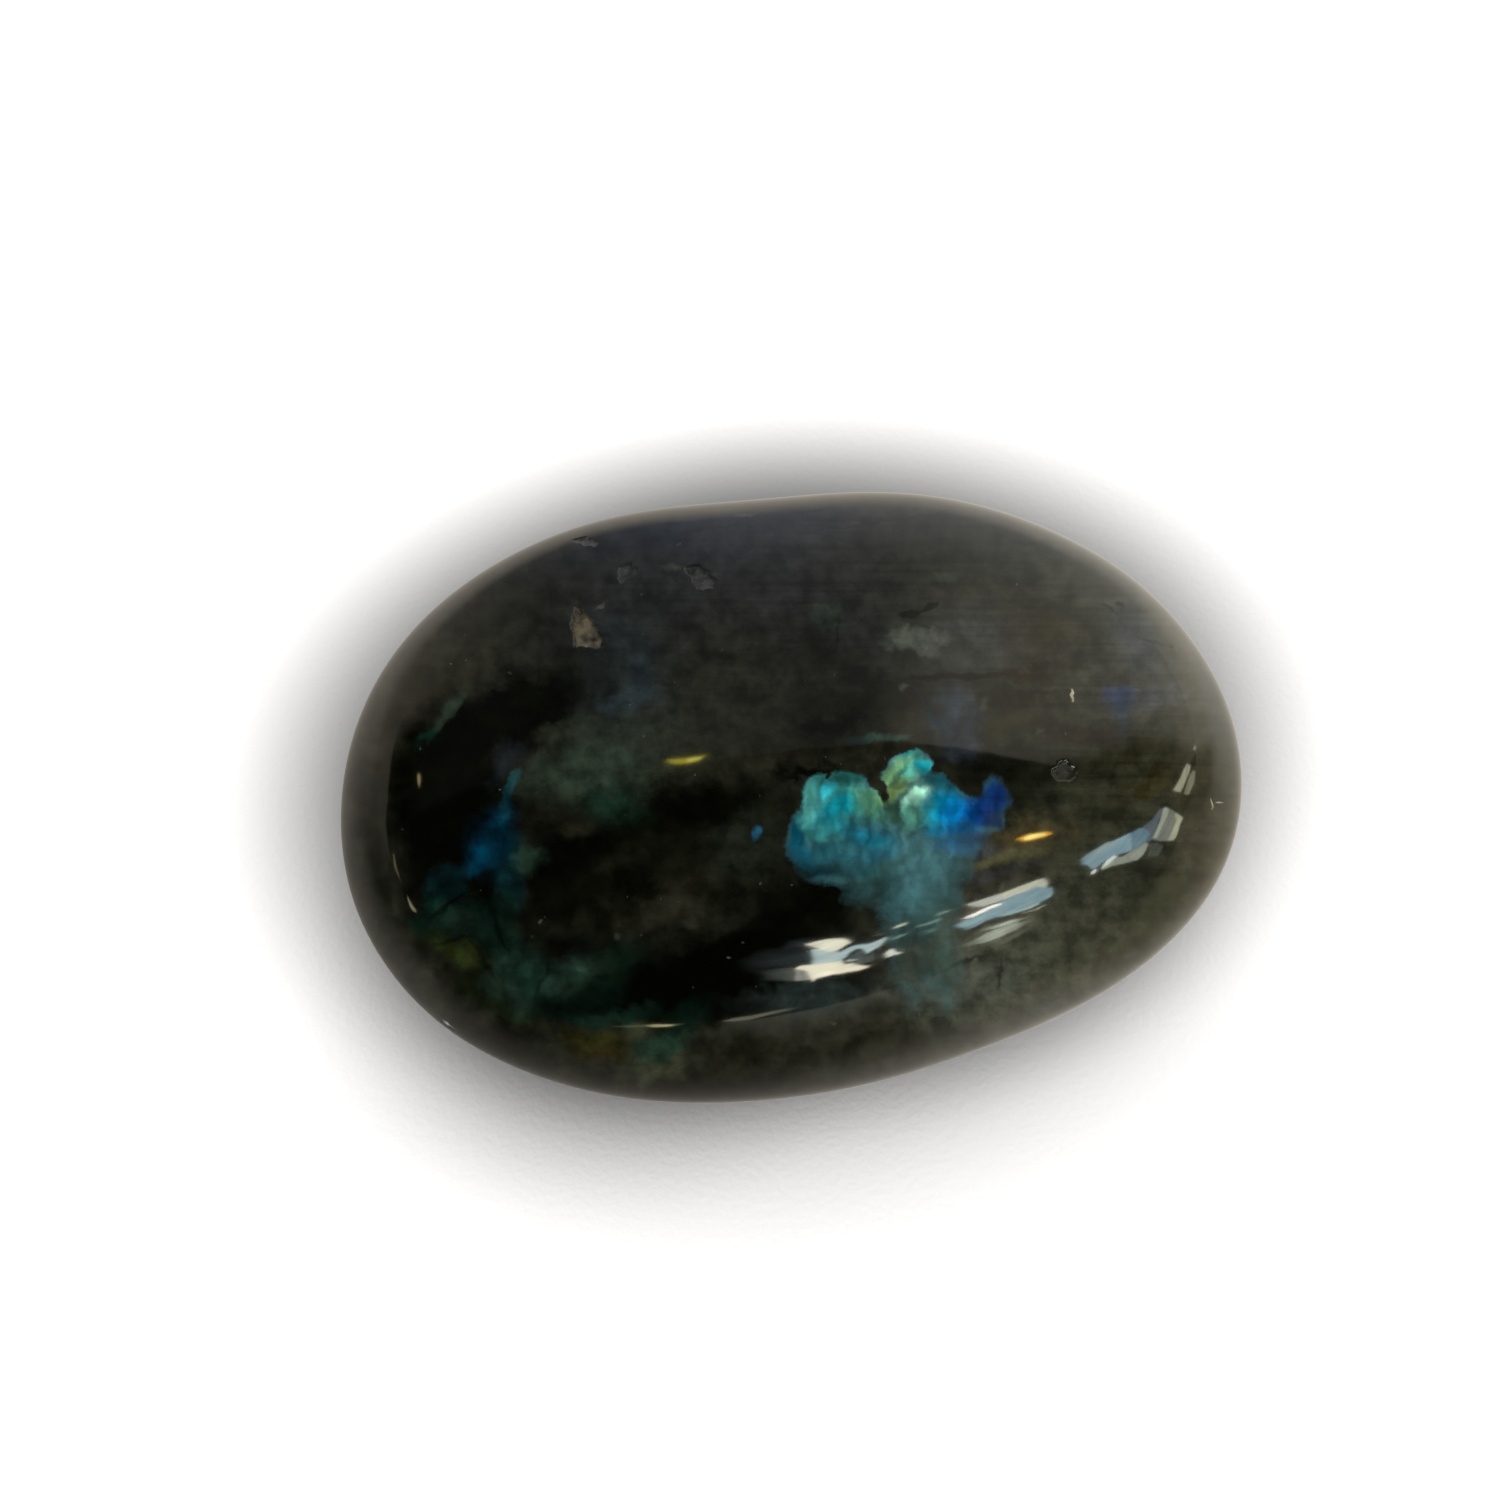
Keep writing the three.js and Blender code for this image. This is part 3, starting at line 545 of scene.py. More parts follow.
        (29.8, -3.1), (30.1, -3.35), (30.0, -3.7), (29.7, -4.4), (29.3, -5.0), (29.0, -5.1),
        (28.3, -5.1), (27.8, -5.0))),
    ("window_c_pane_left", "#8f9586", (
        (27.6, -4.8), (28.0, -4.1), (28.3, -3.5), (28.5, -2.6), (28.7, -2.5), (28.95, -2.7),
        (28.6, -3.5), (28.2, -4.3), (27.9, -4.9))),
    ("window_c_pane_right", "#96997f", (
        (29.4, -2.95), (29.8, -3.1), (30.1, -3.38), (29.8, -4.2), (29.3, -5.0), (28.85, -5.05),
        (29.25, -4.2), (29.55, -3.5))),
    ("window_d_dark", "#060708", (
        (30.6, 0.95), (31.0, 1.65), (31.7, 1.55), (32.1, 0.9), (31.9, 0.3), (31.3, 0.55), (30.8, 0.6))),
    ("window_d_slat", "#8b8a75", (
        (29.25, -1.15), (29.6, -0.6), (29.9, -0.1), (30.15, 0.5), (30.35, 0.9), (30.6, 0.7),
        (30.5, 0.2), (30.3, -0.3), (30.0, -1.0), (29.85, -1.3), (29.6, -1.25))),
    ("window_d_slat_2", "#6b6a59", (
        (30.1, -1.35), (30.3, -0.7), (30.5, -0.1), (30.75, 0.35), (31.05, 0.35), (31.05, -0.3),
        (30.8, -0.8), (30.6, -1.2), (30.5, -1.5), (30.2, -1.5))),
    ("window_d_dot", "#7d7c6b", ((30.8, 2.0), (30.9, 2.3), (31.1, 2.35), (31.17, 2.1), (31.0, 1.95))),
    ("window_d_dot_2", "#77776a", ((31.3, 2.2), (31.45, 2.25), (31.57, 2.05), (31.4, 1.95))),
    ("window_d_streak", "#4b4c42", ((31.0, 0.6), (31.25, 0.6), (31.5, -0.1), (31.38, -0.1))),
    ("lamp_right_halo", "#c8860c", (
        (17.05, -4.88), (18.0, -4.5), (19.3, -4.3), (19.95, -4.42), (19.5, -4.65), (18.6, -4.9),
        (17.8, -5.0))),
    ("lamp_right", "#fff08a", (
        (17.6, -4.78), (18.3, -4.52), (19.0, -4.43), (19.35, -4.45), (19.3, -4.6), (18.6, -4.8),
        (18.0, -4.88))),
    ("lamp_high", "#8f8420", (
        (-9.9, 1.2), (-9.0, 1.38), (-8.0, 1.48), (-7.2, 1.6), (-6.7, 1.72), (-6.9, 1.45), (-7.3, 1.2),
        (-8.3, 1.05), (-9.4, 1.0))),
    ("lamp_high_core", "#cdc558", ((-8.2, 1.35), (-7.4, 1.5), (-6.95, 1.62), (-7.2, 1.35), (-8.0, 1.2))),
    ("glint_left", "#806f50", (
        (-28.97, 0.25), (-28.8, 0.3), (-28.65, 0.0), (-28.7, -0.4), (-28.8, -0.75), (-28.9, -0.3))),
    ("left_line", "#45462e", (
        (-30.85, -5.8), (-30.75, -5.8), (-30.5, -7.2), (-30.25, -8.1), (-30.4, -8.1), (-30.72, -7.2))),
    ("left_line_bright", "#7f7a60", (
        (-30.5, -7.9), (-30.35, -7.9), (-29.9, -8.9), (-29.15, -10.1), (-29.1, -10.35), (-29.35, -10.2),
        (-30.05, -8.9))),
    ("left_line_glow", "#2e2c16", (
        (-31.0, -7.2), (-30.85, -7.0), (-30.5, -8.2), (-29.9, -9.3), (-29.6, -10.0), (-30.1, -9.6),
        (-30.7, -8.6))),
    ("floor_line", "#3a3928", (
        (-14.2, -19.22), (-12.8, -19.12), (-11.2, -19.08), (-9.0, -19.05), (-8.3, -19.02),
        (-9.0, -19.22), (-11.2, -19.28), (-12.8, -19.3))),
    ("floor_line_bright", "#a09b78", (
        (-11.4, -19.17), (-10.8, -19.08), (-9.8, -19.07), (-9.1, -19.1), (-9.8, -19.25),
        (-10.8, -19.26))),
    ("floor_line_right", "#5a584a", (
        (-5.6, -18.85), (-4.6, -18.6), (-3.4, -18.4), (-2.2, -18.2), (-0.8, -17.95), (0.6, -17.7, 0),
        (0.6, -17.85, 0), (-0.8, -18.12), (-2.2, -18.4), (-3.4, -18.68), (-4.6, -18.85))),
)
REFLECTION_DISTANCE = 700.0
REFLECTION_STEP = 3.0  # how far each one stands before the one listed before it
GLASS_STREAKS_PER_M = (12, 12, 90)

# The stone's materials, in millimetres: how fine each pattern is, and how far it moves what it frays
STONE_IOR = 1.56
CLOUDS_PER_MM = 0.14
FRAYS_PER_MM = 0.55
FRAY_REACHES = (4, 2.4, 1.5)  # of the clouds, the dim flashes and all that is finer
LUMPS_PER_MM = 0.5
LUMP_REGION = (1.0, -22.0, -10.5, 9.0, 10.0, 0, 0.5)  # a stroke as above, without its colour
TEARS_PER_MM = 0.7
FOLDS_PER_MM = (1.25, 0.6, 1)
SPECKS_PER_MM = 0.8
MOTTLES_PER_MM = 0.65
CLEAVAGE_TURN = -3.0
CLEAVAGE_LINES_PER_MM = (0.07, 1.6, 1)
HIDDEN_FLASHES_PER_MM = 0.09
FACE_TOWARD = Vector((-0.02, -0.293, 0.956)).normalized()  # the painted face looks this way
FACE_EDGE = 1.5  # how softly it ends
POLISH_ROUGHNESS = 0.06
CHIP_ROUGHNESS = 0.7
RIPPLES_PER_MM = 0.4
RIPPLE_DEPTH = 0.01

# The paper's shades round the stone: how far right of its middle and beyond it, half length, half
# width, from which to which share of them the shade fades, and how much light its middle keeps
PAPER_SHADES = (
    (0.6, 11.2, 38.7, 28.75, 0.76, 1.28, 0.175),
    (-15.8, -5.2, 25.5, 25.5, 0.0, 1.0, 0.2),
)
PAPER_GRAINS_PER_M = 1600.0
PAPER_GRAIN_DEPTH = 0.2

# The glow far behind the stone, low down: how far to the right it lies, as the sine of the turn
# from straight behind, and its colour
FAR_GLOW = (
    (-0.8, "#857e72"), (-0.5, "#66645f"), (-0.3, "#62656c"), (-0.16, "#6f7684"), (-0.05, "#9396a1"),
    (0.05, "#aaaaae"), (0.15, "#b5b5b5"), (0.45, "#bcbcb5"), (0.56, "#cecdc2"), (0.7, "#d8d6cb"),
    (0.78, "#eeebd9"), (0.86, "#efe9cf"), (0.93, "#e5dec2"), (0.955, "#9b9373"), (0.985, "#5c5540"),
)
ROOM_RADIUS = 800.0
ROOM_CUT = (0.135, 1.0, -0.174)  # the far room begins at the plane that faces this way

# How far the paper reaches that the stone mirrors: right and away from its middle
MIRRORED_PAPER = (
    (-900, 900), (900, 900), (900, -52), (-450, -52), (-340, 0), (-310, 28), (-380, 87), (-820, 268),
)
MIRRORED_PAPER_DEPTH = 0.2  # it lies this far below the paper in the open

# The near table's outline, right and up, and how far before the stone it stands
NEAR_TABLE = ((-20, -20), (320, -6), (620, -4), (620, -330), (-20, -330))
TABLE_DISTANCE = 700.0

# The lamp: degrees clockwise from straight behind the stone, degrees up, and its sizes
LAMP_AZIMUTH = 35.0
LAMP_ELEVATION = 58.0
LAMP_DISTANCE = 1100.0
LAMP_SIZE = 900.0
LAMP_WATTS = 1.25


def linear(hex_colour):
    """An sRGB hex colour as the linear values that the sockets take."""
    channels = [int(hex_colour[i:i + 2], 16) / 255 for i in (1, 3, 5)]
    return tuple(c / 12.92 if c <= 0.04045 else ((c + 0.055) / 1.055) ** 2.4 for c in channels) + (1.0,)


class PalmStoneSettings(bpy.types.PropertyGroup):
    half_length: bpy.props.FloatProperty(
        name="Half length", description="From the middle of the girth to its ends", default=35.2 * MM,
        min=0.005, unit="LENGTH", subtype="DISTANCE")
    half_width: bpy.props.FloatProperty(
        name="Half width", description="From the middle of the girth to its sides", default=24.73 * MM,
        min=0.005, unit="LENGTH", subtype="DISTANCE")
    crown: bpy.props.FloatProperty(
        name="Crown", description="From the girth up to the top", default=18.1 * MM,
        min=0.002, unit="LENGTH", subtype="DISTANCE")
    belly: bpy.props.FloatProperty(
        name="Belly", description="From the girth down to the underside, before its flat is ground",
        default=12.7 * MM, min=0.002, unit="LENGTH", subtype="DISTANCE")
    rest_cut: bpy.props.FloatProperty(
        name="Rest cut", description="How much is ground away to the flat that the stone rests on",
        default=0.45 * MM, min=0.0, unit="LENGTH", subtype="DISTANCE")
    body_dark: bpy.props.FloatVectorProperty(
        name="Dark body", description="The feldspar where it is clear and deep",
        default=linear("#070805"), size=4, subtype="COLOR", min=0, max=1)
    body_pale: bpy.props.FloatVectorProperty(
        name="Pale body", description="The feldspar where it is cloudy",
        default=linear("#3b3c31"), size=4, subtype="COLOR", min=0, max=1)


class PalmStageSettings(bpy.types.PropertyGroup):
    paper: bpy.props.FloatVectorProperty(
        name="Paper", description="The paper that the stone rests on",
        default=linear("#fbfaf9"), size=4, subtype="COLOR", min=0, max=1)
    paper_span: bpy.props.FloatProperty(
        name="Paper span", description="The length of the paper's sides", default=1.2,
        min=0.2, unit="LENGTH", subtype="DISTANCE")


def quarter_reach(along, across, fullness):
    """How far out the curve lies that joins two half axes in one quarter turn."""
    span = along ** 2 + across ** 2
    corner = 2 * along * across / span
    return (1 + fullness * corner ** 2) / math.sqrt(span)


def girth_radius(sizes, angle):
    radius = quarter_reach(math.cos(angle) * MM / sizes.half_length,
                           math.sin(angle) * MM / sizes.half_width, PLAN_FULLNESS)
    for count, swell, bearing in GIRTH_WAVES:
        radius += swell * math.cos(count * (angle - math.radians(bearing)))
    return radius


def polish_swell(point):
    """The faint hollows and swells that hand polishing leaves."""
    swell = 0.0
    for height, length, heading, start in POLISH_WAVES:
        along = point.dot(Vector(heading).normalized())
        swell += height * math.sin(2 * math.pi * along / length + start)
    return swell


def on_stone(sizes, direction):
    """The surface point that lies in a direction from the girth's middle, in millimetres."""
    d = direction.normalized()
    crown_share = (1 + math.tanh(d.z / TURN_OVER)) / 2
    bulge = (sizes.belly + (sizes.crown - sizes.belly) * crown_share) / MM
    level = math.hypot(d.x, d.y) / girth_radius(sizes, math.atan2(d.y, d.x))
    point = d * quarter_reach(level, d.z / bulge, SIDE_FULLNESS)
    return point + d * polish_swell(point)


def direction_at(bearing, rise):
    b, r = math.radians(bearing), math.radians(rise)
    return Vector((math.cos(r) * math.cos(b), math.cos(r) * math.sin(b), math.sin(r)))


def level_at(sizes, direction):
    """East, north and outward at a place on the surface, with that place as the origin."""
    step = 0.01
    place = on_stone(sizes, direction)
    to_east = on_stone(sizes, direction + Vector((-direction.y, direction.x, 0)) * step) - place
    to_north = on_stone(sizes, direction + Vector((0, 0, step))) - place
    outward = to_east.cross(to_north).normalized()
    east = Vector((0, 0, 1)).cross(outward).normalized()
    turn = Matrix((east, outward.cross(east), outward)).transposed().to_4x4()
    return Matrix.Translation(place) @ turn


def inside_outline(outline, x, y):
    """How far inside a many-sided outline a point lies, and less than 0 outside it."""
    nearest, inside = 1e9, False
    for i, (ax, ay) in enumerate(outline):
        bx, by = outline[i - 1]
        if (ay > y) != (by > y) and x < (bx - ax) * (y - ay) / (by - ay) + ax:
            inside = not inside
        ex, ey = bx - ax, by - ay
        share = min(1, max(0, ((x - ax) * ex + (y - ay) * ey) / (ex * ex + ey * ey)))
        nearest = min(nearest, math.hypot(x - ax - share * ex, y - ay - share * ey))
    return nearest if inside else -nearest


def face_frame():
    """Right, up and towards the camera, as the columns of a turning matrix."""
    a, e = math.radians(FACE_AZIMUTH), math.radians(FACE_ELEVATION)
    towards = Vector((math.sin(a) * math.cos(e), -math.cos(a) * math.cos(e), math.sin(e)))
    right = Vector((math.cos(a), math.sin(a), 0))
    return Matrix((right, towards.cross(right), towards)).transposed()


def girth_middle(sizes):
    """Where the middle of the girth stands, in mm, when the outline's middle is over the origin."""
    rim = [on_stone(sizes, direction_at(bearing, rise))
           for bearing in range(0, 360, 2) for rise in range(-12, 13, 3)]
    middles = [(min(p[i] for p in rim) + max(p[i] for p in rim)) / 2 for i in range(2)]
    return Vector((-middles[0], -middles[1], (sizes.belly - sizes.rest_cut) / MM))


def eye():
    """Where the camera stands, in mm."""
    right, up, back = face_frame().col
    return FACE_MIDDLE + back * CAMERA_DISTANCE - right * MIDDLE_RIGHT + up * MIDDLE_DOWN


def fresnel(facing):
    """The share of light that the stone's gloss mirrors, from the cosine of the angle it comes at."""
    inside = math.sqrt(STONE_IOR ** 2 - 1 + facing ** 2)
    across = (inside - facing) / (inside + facing)
    along = (STONE_IOR ** 2 * facing - inside) / (STONE_IOR ** 2 * facing + inside)
    return (across ** 2 + along ** 2) / 2


def mirrored_at(sizes, middle, x, y):
    """Where the eye's line through a place on the face meets the stone, where the gloss sends it
    on to, and the share of light that comes back along it. Halving the line finds the place."""
    start = eye()
    way = (FACE_MIDDLE + face_frame() @ Vector((x, y, 0)) - start).normalized()
    inner = (middle - start).dot(way)
    outer = inner - sizes.half_length / MM
    for _ in range(HALVINGS):
        reach = (inner + outer) / 2
        direction = start + way * reach - middle
        if direction.length > on_stone(sizes, direction).length:
            outer = reach
        else:
            inner = reach
    outward = level_at(sizes, direction).to_3x3().col[2]
    facing = max(0.0, -way.dot(outward))
    return middle + direction, way + outward * 2 * facing, fresnel(facing)


def finer_near(bm, middle, reach):
    """Halves every facet whose corners all lie within reach, as an angle, of a direction."""
    near = {v for v in bm.verts if v.co.angle(middle) < reach}
    edges = [e for e in bm.edges if e.verts[0] in near and e.verts[1] in near]
    bmesh.ops.subdivide_edges(bm, edges=edges, cuts=1, use_grid_fill=True)
    bmesh.ops.triangulate(bm, faces=[f for f in bm.faces if len(f.verts) > 3])


def cut_chip(bm, sizes, chip, tint_layer):
    """Pushes the surface in within one chip's outline, and marks it with the fill's colour."""
    bearing, rise, deep, colour, outline = chip
    level = level_at(sizes, direction_at(bearing, rise))
    to_level = level.inverted()
    outward = level.to_3x3().col[2]
    reach = max(math.hypot(x, y) for x, y in outline) + CHIP_MARGIN
    rags_per_mm, rag_reach = CHIP_RAGS
    patches_per_mm, patch_strength = CHIP_PATCHES
    for vert in bm.verts:
        at = to_level @ vert.co
        if at.length > reach:
            continue
        ragged = noise.noise_vector(vert.co * rags_per_mm) * rag_reach
        inside = inside_outline(outline, at.x + ragged.x, at.y + ragged.y)
        share = min(1, max(0, inside / CHIP_WALL + CHIP_LIP))
        share = share * share * (3 - 2 * share)
        grain = sum(noise.noise(vert.co * per_mm) * part for per_mm, part in CHIP_GRAINS)
        vert.co -= outward * deep * share * (1 + grain)
        if share > 0:
            shade = 1 + patch_strength * noise.noise(vert.co * patches_per_mm)
            vert[tint_layer] = tuple(c * shade for c in linear(colour)[:3]) + (share,)


def stone_mesh(sizes):
    """One closed ball, moved out to the stone's form, with its chips and its ground flat."""
    bm = bmesh.new()
    bmesh.ops.create_icosphere(bm, subdivisions=BALL_STEPS, radius=1.0)
    for bearing, rise, _, _, outline in CHIPS:
        middle = direction_at(bearing, rise)
        reach = max(math.hypot(x, y) for x, y in outline) + FINE_MARGIN
        for _ in range(CHIP_STEPS):
            finer_near(bm, middle, reach / on_stone(sizes, middle).length)
    tint_layer = bm.verts.layers.float_color.new("chip_fill")
    for vert in bm.verts:
        vert.co = on_stone(sizes, vert.co)
        vert[tint_layer] = (0.0, 0.0, 0.0, 0.0)
    noise.seed_set(CHIP_SEED)
    for chip in CHIPS:
        cut_chip(bm, sizes, chip, tint_layer)
    flat = (sizes.rest_cut - sizes.belly) / MM
    for vert in bm.verts:
        over = vert.co.z - flat
        if over < REST_SOFTNESS:
            vert.co.z = flat + max(0.0, over + REST_SOFTNESS) ** 2 / (4 * REST_SOFTNESS)
    bmesh.ops.translate(bm, vec=girth_middle(sizes), verts=bm.verts)
    bmesh.ops.scale(bm, vec=(MM, MM, MM), verts=bm.verts)
    bmesh.ops.recalc_face_normals(bm, faces=bm.faces)
    for face in bm.faces:
        face.smooth = True
    mesh = bpy.data.meshes.new(STONE_PIECE)
    bm.to_mesh(mesh)
    bm.free()
    return mesh


def node(tree, kind, inputs=None, **settings):
    """Adds a node, with its settings and with each input linked or set. Returns its first output."""
    made = tree.nodes.new(kind)
    for name, value in settings.items():
        setattr(made, name, value)
    for key, value in (inputs or {}).items():
        if isinstance(value, bpy.types.NodeSocket):
            tree.links.new(value, made.inputs[key])
        else:
            made.inputs[key].default_value = value
    return next((socket for socket in made.outputs if socket.enabled), made)


def new_material(name):
    """A material that has no nodes yet, and its tree."""
    material = bpy.data.materials.new(name)
    material.use_nodes = True
    material.node_tree.nodes.clear()
    return material, material.node_tree


def stroke_share(tree, place, strength, x, y, half_length, half_width, turn, softness):
    """A soft oval's share of the colour at a place. At its half sizes it is half as strong."""
    inward = node(tree, "ShaderNodeTexGradient", {"Vector": place}, gradient_type="SPHERICAL").node
    whole = 1 / (1 - softness / 2)
    inward.texture_mapping.vector_type = "TEXTURE"
    inward.texture_mapping.translation = (x, y, 0)
    inward.texture_mapping.rotation = (0, 0, math.radians(turn))
    inward.texture_mapping.scale = (half_length * whole, half_width * whole, 1)
    # Smooth steps end by themselves, and clamping some hundreds of them makes the stone black
    return node(tree, "ShaderNodeMapRange", {
        "Value": inward.outputs["Fac"], "From Max": softness, "To Max": strength,
    }, interpolation_type="SMOOTHSTEP", clamp=False)


def painted(tree, colour, place, strokes):
    """Lays soft oval strokes over a colour, in order."""
    for name, *stroke in strokes:
        share = stroke_share(tree, place, *stroke)
        colour = node(tree, "ShaderNodeMix", {
            0: share, 6: colour, 7: linear(PALETTE[name]),
        }, data_type="RGBA")
    return colour


def covered(tree, place, strokes):
    """How much of a place soft oval strokes cover, each laid over those before it."""
    cover = 0.0
    for level, x, y, half_length, half_width, turn, softness in strokes:
        share = stroke_share(tree, place, 1.0, x, y, half_length, half_width, turn, softness)
        cover = node(tree, "ShaderNodeMix", {0: share, 2: cover, 3: level}, data_type="FLOAT")
    return cover


def on_face(tree, place):
    """Places on the stone's face in mm, as they line up from a fixed point in front of it."""
    turn = face_frame()
    sideways = Vector((MIDDLE_RIGHT, -MIDDLE_DOWN, 0))
    from_axis = node(tree, "ShaderNodeMapping", {
        "Vector": place, "Location": (FACE_MIDDLE - turn @ sideways) * MM, "Rotation": turn.to_euler(),
        "Scale": (MM, MM, MM),
    }, vector_type="TEXTURE")
    depth = node(tree, "ShaderNodeSeparateXYZ", {"Vector": from_axis}).node.outputs["Z"]
    from_eye = node(tree, "ShaderNodeMath", {0: CAMERA_DISTANCE, 1: depth}, operation="SUBTRACT")
    larger = node(tree, "ShaderNodeMath", {0: CAMERA_DISTANCE, 1: from_eye}, operation="DIVIDE")
    spread = node(tree, "ShaderNodeVectorMath", {0: from_axis, "Scale": larger}, operation="SCALE")
    return node(tree, "ShaderNodeVectorMath", {
        0: spread, 1: (1, 1, 0), 2: -sideways,
    }, operation="MULTIPLY_ADD")


def feldspar_body(tree, in_mm, sizes):
    """Clear dark feldspar, with pale clouds of about 7 mm all through it."""
    clouds = node(tree, "ShaderNodeTexNoise", {
        "Vector": in_mm, "Scale": CLOUDS_PER_MM, "Detail": 4.0, "Roughness": 0.6,
    })
    paleness = node(tree, "ShaderNodeMapRange", {"Value": clouds, "From Min": 0.4, "From Max": 0.7})
    return node(tree, "ShaderNodeMix", {
        0: paleness, 6: sizes.body_dark[:], 7: sizes.body_pale[:],
    }, data_type="RGBA")


def face_markings(tree, body, face):
    """The face's clouds, dim flashes and fine marks, and where they lie once they are frayed."""
    fray = node(tree, "ShaderNodeTexNoise", {
        "Vector": face, "Scale": FRAYS_PER_MM, "Detail": 3.0, "Roughness": 0.62,
    }).node
    shares = node(tree, "ShaderNodeSeparateColor", {"Color": fray.outputs["Color"]}).node.outputs
    flat = node(tree, "ShaderNodeCombineXYZ", {"X": shares["Red"], "Y": shares["Green"]})
    flat_away = node(tree, "ShaderNodeVectorMath", {0: flat, 1: (0.5, 0.5, 0)}, operation="SUBTRACT")
    far_frayed, mid_frayed, near_frayed = (
        node(tree, "ShaderNodeVectorMath", {
            0: flat_away, 1: (reach, reach, 0), 2: face,
        }, operation="MULTIPLY_ADD")
        for reach in FRAY_REACHES)
    marked = painted(tree, body, far_frayed, CLOUDS)
    marked = painted(tree, marked, mid_frayed, DIM_FLASHES)

    # Lumps like a cauliflower's in the dim flash
    lumps = node(tree, "ShaderNodeTexVoronoi", {
        "Vector": near_frayed, "Scale": LUMPS_PER_MM, "Smoothness": 0.4, "Randomness": 1.0,
    }, feature="SMOOTH_F1")
    lump_share = stroke_share(tree, face, *LUMP_REGION)
    lump_depth = node(tree, "ShaderNodeMapRange", {
        "Value": lumps, "From Min": 0.15, "From Max": 0.65, "To Min": 1.3, "To Max": 0.45,
    })
    lump_gain = node(tree, "ShaderNodeMix", {0: lump_share, 2: 1.0, 3: lump_depth}, data_type="FLOAT")
    marked = painted(tree, marked, near_frayed, FINE_FLASHES)
    marked = painted(tree, marked, near_frayed, MARKS)
    patch_gain = node(tree, "ShaderNodeMapRange", {
        "Value": shares["Blue"], "From Min": 0.35, "From Max": 0.65, "To Min": 0.6, "To Max": 1.45,
    })
    patch_gain = node(tree, "ShaderNodeMath", {0: patch_gain, 1: lump_gain}, operation="MULTIPLY")
    marked = node(tree, "ShaderNodeVectorMath", {0: marked, "Scale": patch_gain}, operation="SCALE")
    return marked, near_frayed


def bright_flash(tree, marked, near_frayed):
    """The bright flash: folds like a cauliflower's, with clear edges above and torn ones below."""
    cover = covered(tree, near_frayed, FLASH_SHAPES)
    torn = node(tree, "ShaderNodeTexNoise", {
        "Vector": near_frayed, "Scale": TEARS_PER_MM, "Detail": 3.0, "Roughness": 0.6,
    })
    torn_cover = node(tree, "ShaderNodeMath", {0: torn, 1: 0.6, 2: cover}, operation="MULTIPLY_ADD")
    flash_share = node(tree, "ShaderNodeMapRange", {
        "Value": torn_cover, "From Min": 0.48, "From Max": 1.12,
    }, interpolation_type="SMOOTHSTEP")
    flash = painted(tree, linear(PALETTE["veil_teal"]), near_frayed, FLASH_COLOURS)
    upright = node(tree, "ShaderNodeVectorMath", {0: near_frayed, 1: FOLDS_PER_MM}, operation="MULTIPLY")
    folds = node(tree, "ShaderNodeTexVoronoi", {
        "Vector": upright, "Scale": 1.0, "Smoothness": 0.35, "Randomness": 1.0,
    }, feature="SMOOTH_F1")
    fold_depth = node(tree, "ShaderNodeMapRange", {
        "Value": cover, "From Min": 0.75, "From Max": 1.0, "To Min": 0.85, "To Max": 0.6,
    })
    fold_gain = node(tree, "ShaderNodeMapRange", {
        "Value": folds, "From Min": 0.1, "From Max": 0.65, "To Min": 1.3, "To Max": fold_depth,
    })
    folded = node(tree, "ShaderNodeVectorMath", {0: flash, "Scale": fold_gain}, operation="SCALE")
    return node(tree, "ShaderNodeMix", {0: flash_share, 6: marked, 7: folded}, data_type="RGBA")


def dusted(tree, marked, near_frayed):
    """Dust and pinpricks, each a speck in a cell of its own, and only in some cells."""
    specks = node(tree, "ShaderNodeTexVoronoi", {
        "Vector": near_frayed, "Scale": SPECKS_PER_MM, "Randomness": 1.0,
    }).node
    kept = node(tree, "ShaderNodeSeparateColor", {"Color": specks.outputs["Color"]}).node.outputs["Red"]
    kept_share = node(tree, "ShaderNodeMapRange", {
        "Value": kept, "From Min": 0.55, "From Max": 1.0, "To Max": 0.55,
    })
    speck = node(tree, "ShaderNodeMapRange", {
        "Value": specks.outputs["Distance"], "From Min": 0.08, "From Max": 0.05, "To Max": kept_share,
    })
    return node(tree, "ShaderNodeMix", {0: speck, 6: marked, 7: linear(PALETTE["bone"])}, data_type="RGBA")


def mottled(tree, marked, face, near_frayed):
    """Fine mottling, and cleavage that shows as faint level lines, most at the far right."""
    mottle = node(tree, "ShaderNodeTexNoise", {
        "Vector": near_frayed, "Scale": MOTTLES_PER_MM, "Detail": 3.0, "Roughness": 0.6,
    })
    mottle_gain = node(tree, "ShaderNodeMapRange", {
        "Value": mottle, "From Min": 0.3, "From Max": 0.7, "To Min": 0.78, "To Max": 1.22,
    })
    level = node(tree, "ShaderNodeMapping", {
        "Vector": face, "Rotation": (0, 0, math.radians(CLEAVAGE_TURN)), "Scale": CLEAVAGE_LINES_PER_MM,
    })
    cleavage = node(tree, "ShaderNodeTexNoise", {
        "Vector": level, "Scale": 1.0, "Detail": 2.0, "Roughness": 0.6,
    })
    far_right = node(tree, "ShaderNodeVectorMath", {0: face, 1: (0.5, 0.86, 0)}, operation="DOT_PRODUCT")
    cleavage_share = node(tree, "ShaderNodeMapRange", {
        "Value": far_right, "From Min": 0.0, "From Max": 16.0, "To Min": 0.94, "To Max": 0.66,
    })
    cleavage_gain = node(tree, "ShaderNodeMapRange", {
        "Value": cleavage, "From Min": 0.45, "From Max": 0.68, "To Min": 1.05, "To Max": cleavage_share,
    })
    gain = node(tree, "ShaderNodeMath", {0: mottle_gain, 1: cleavage_gain}, operation="MULTIPLY")
    return node(tree, "ShaderNodeVectorMath", {0: marked, "Scale": gain}, operation="SCALE")


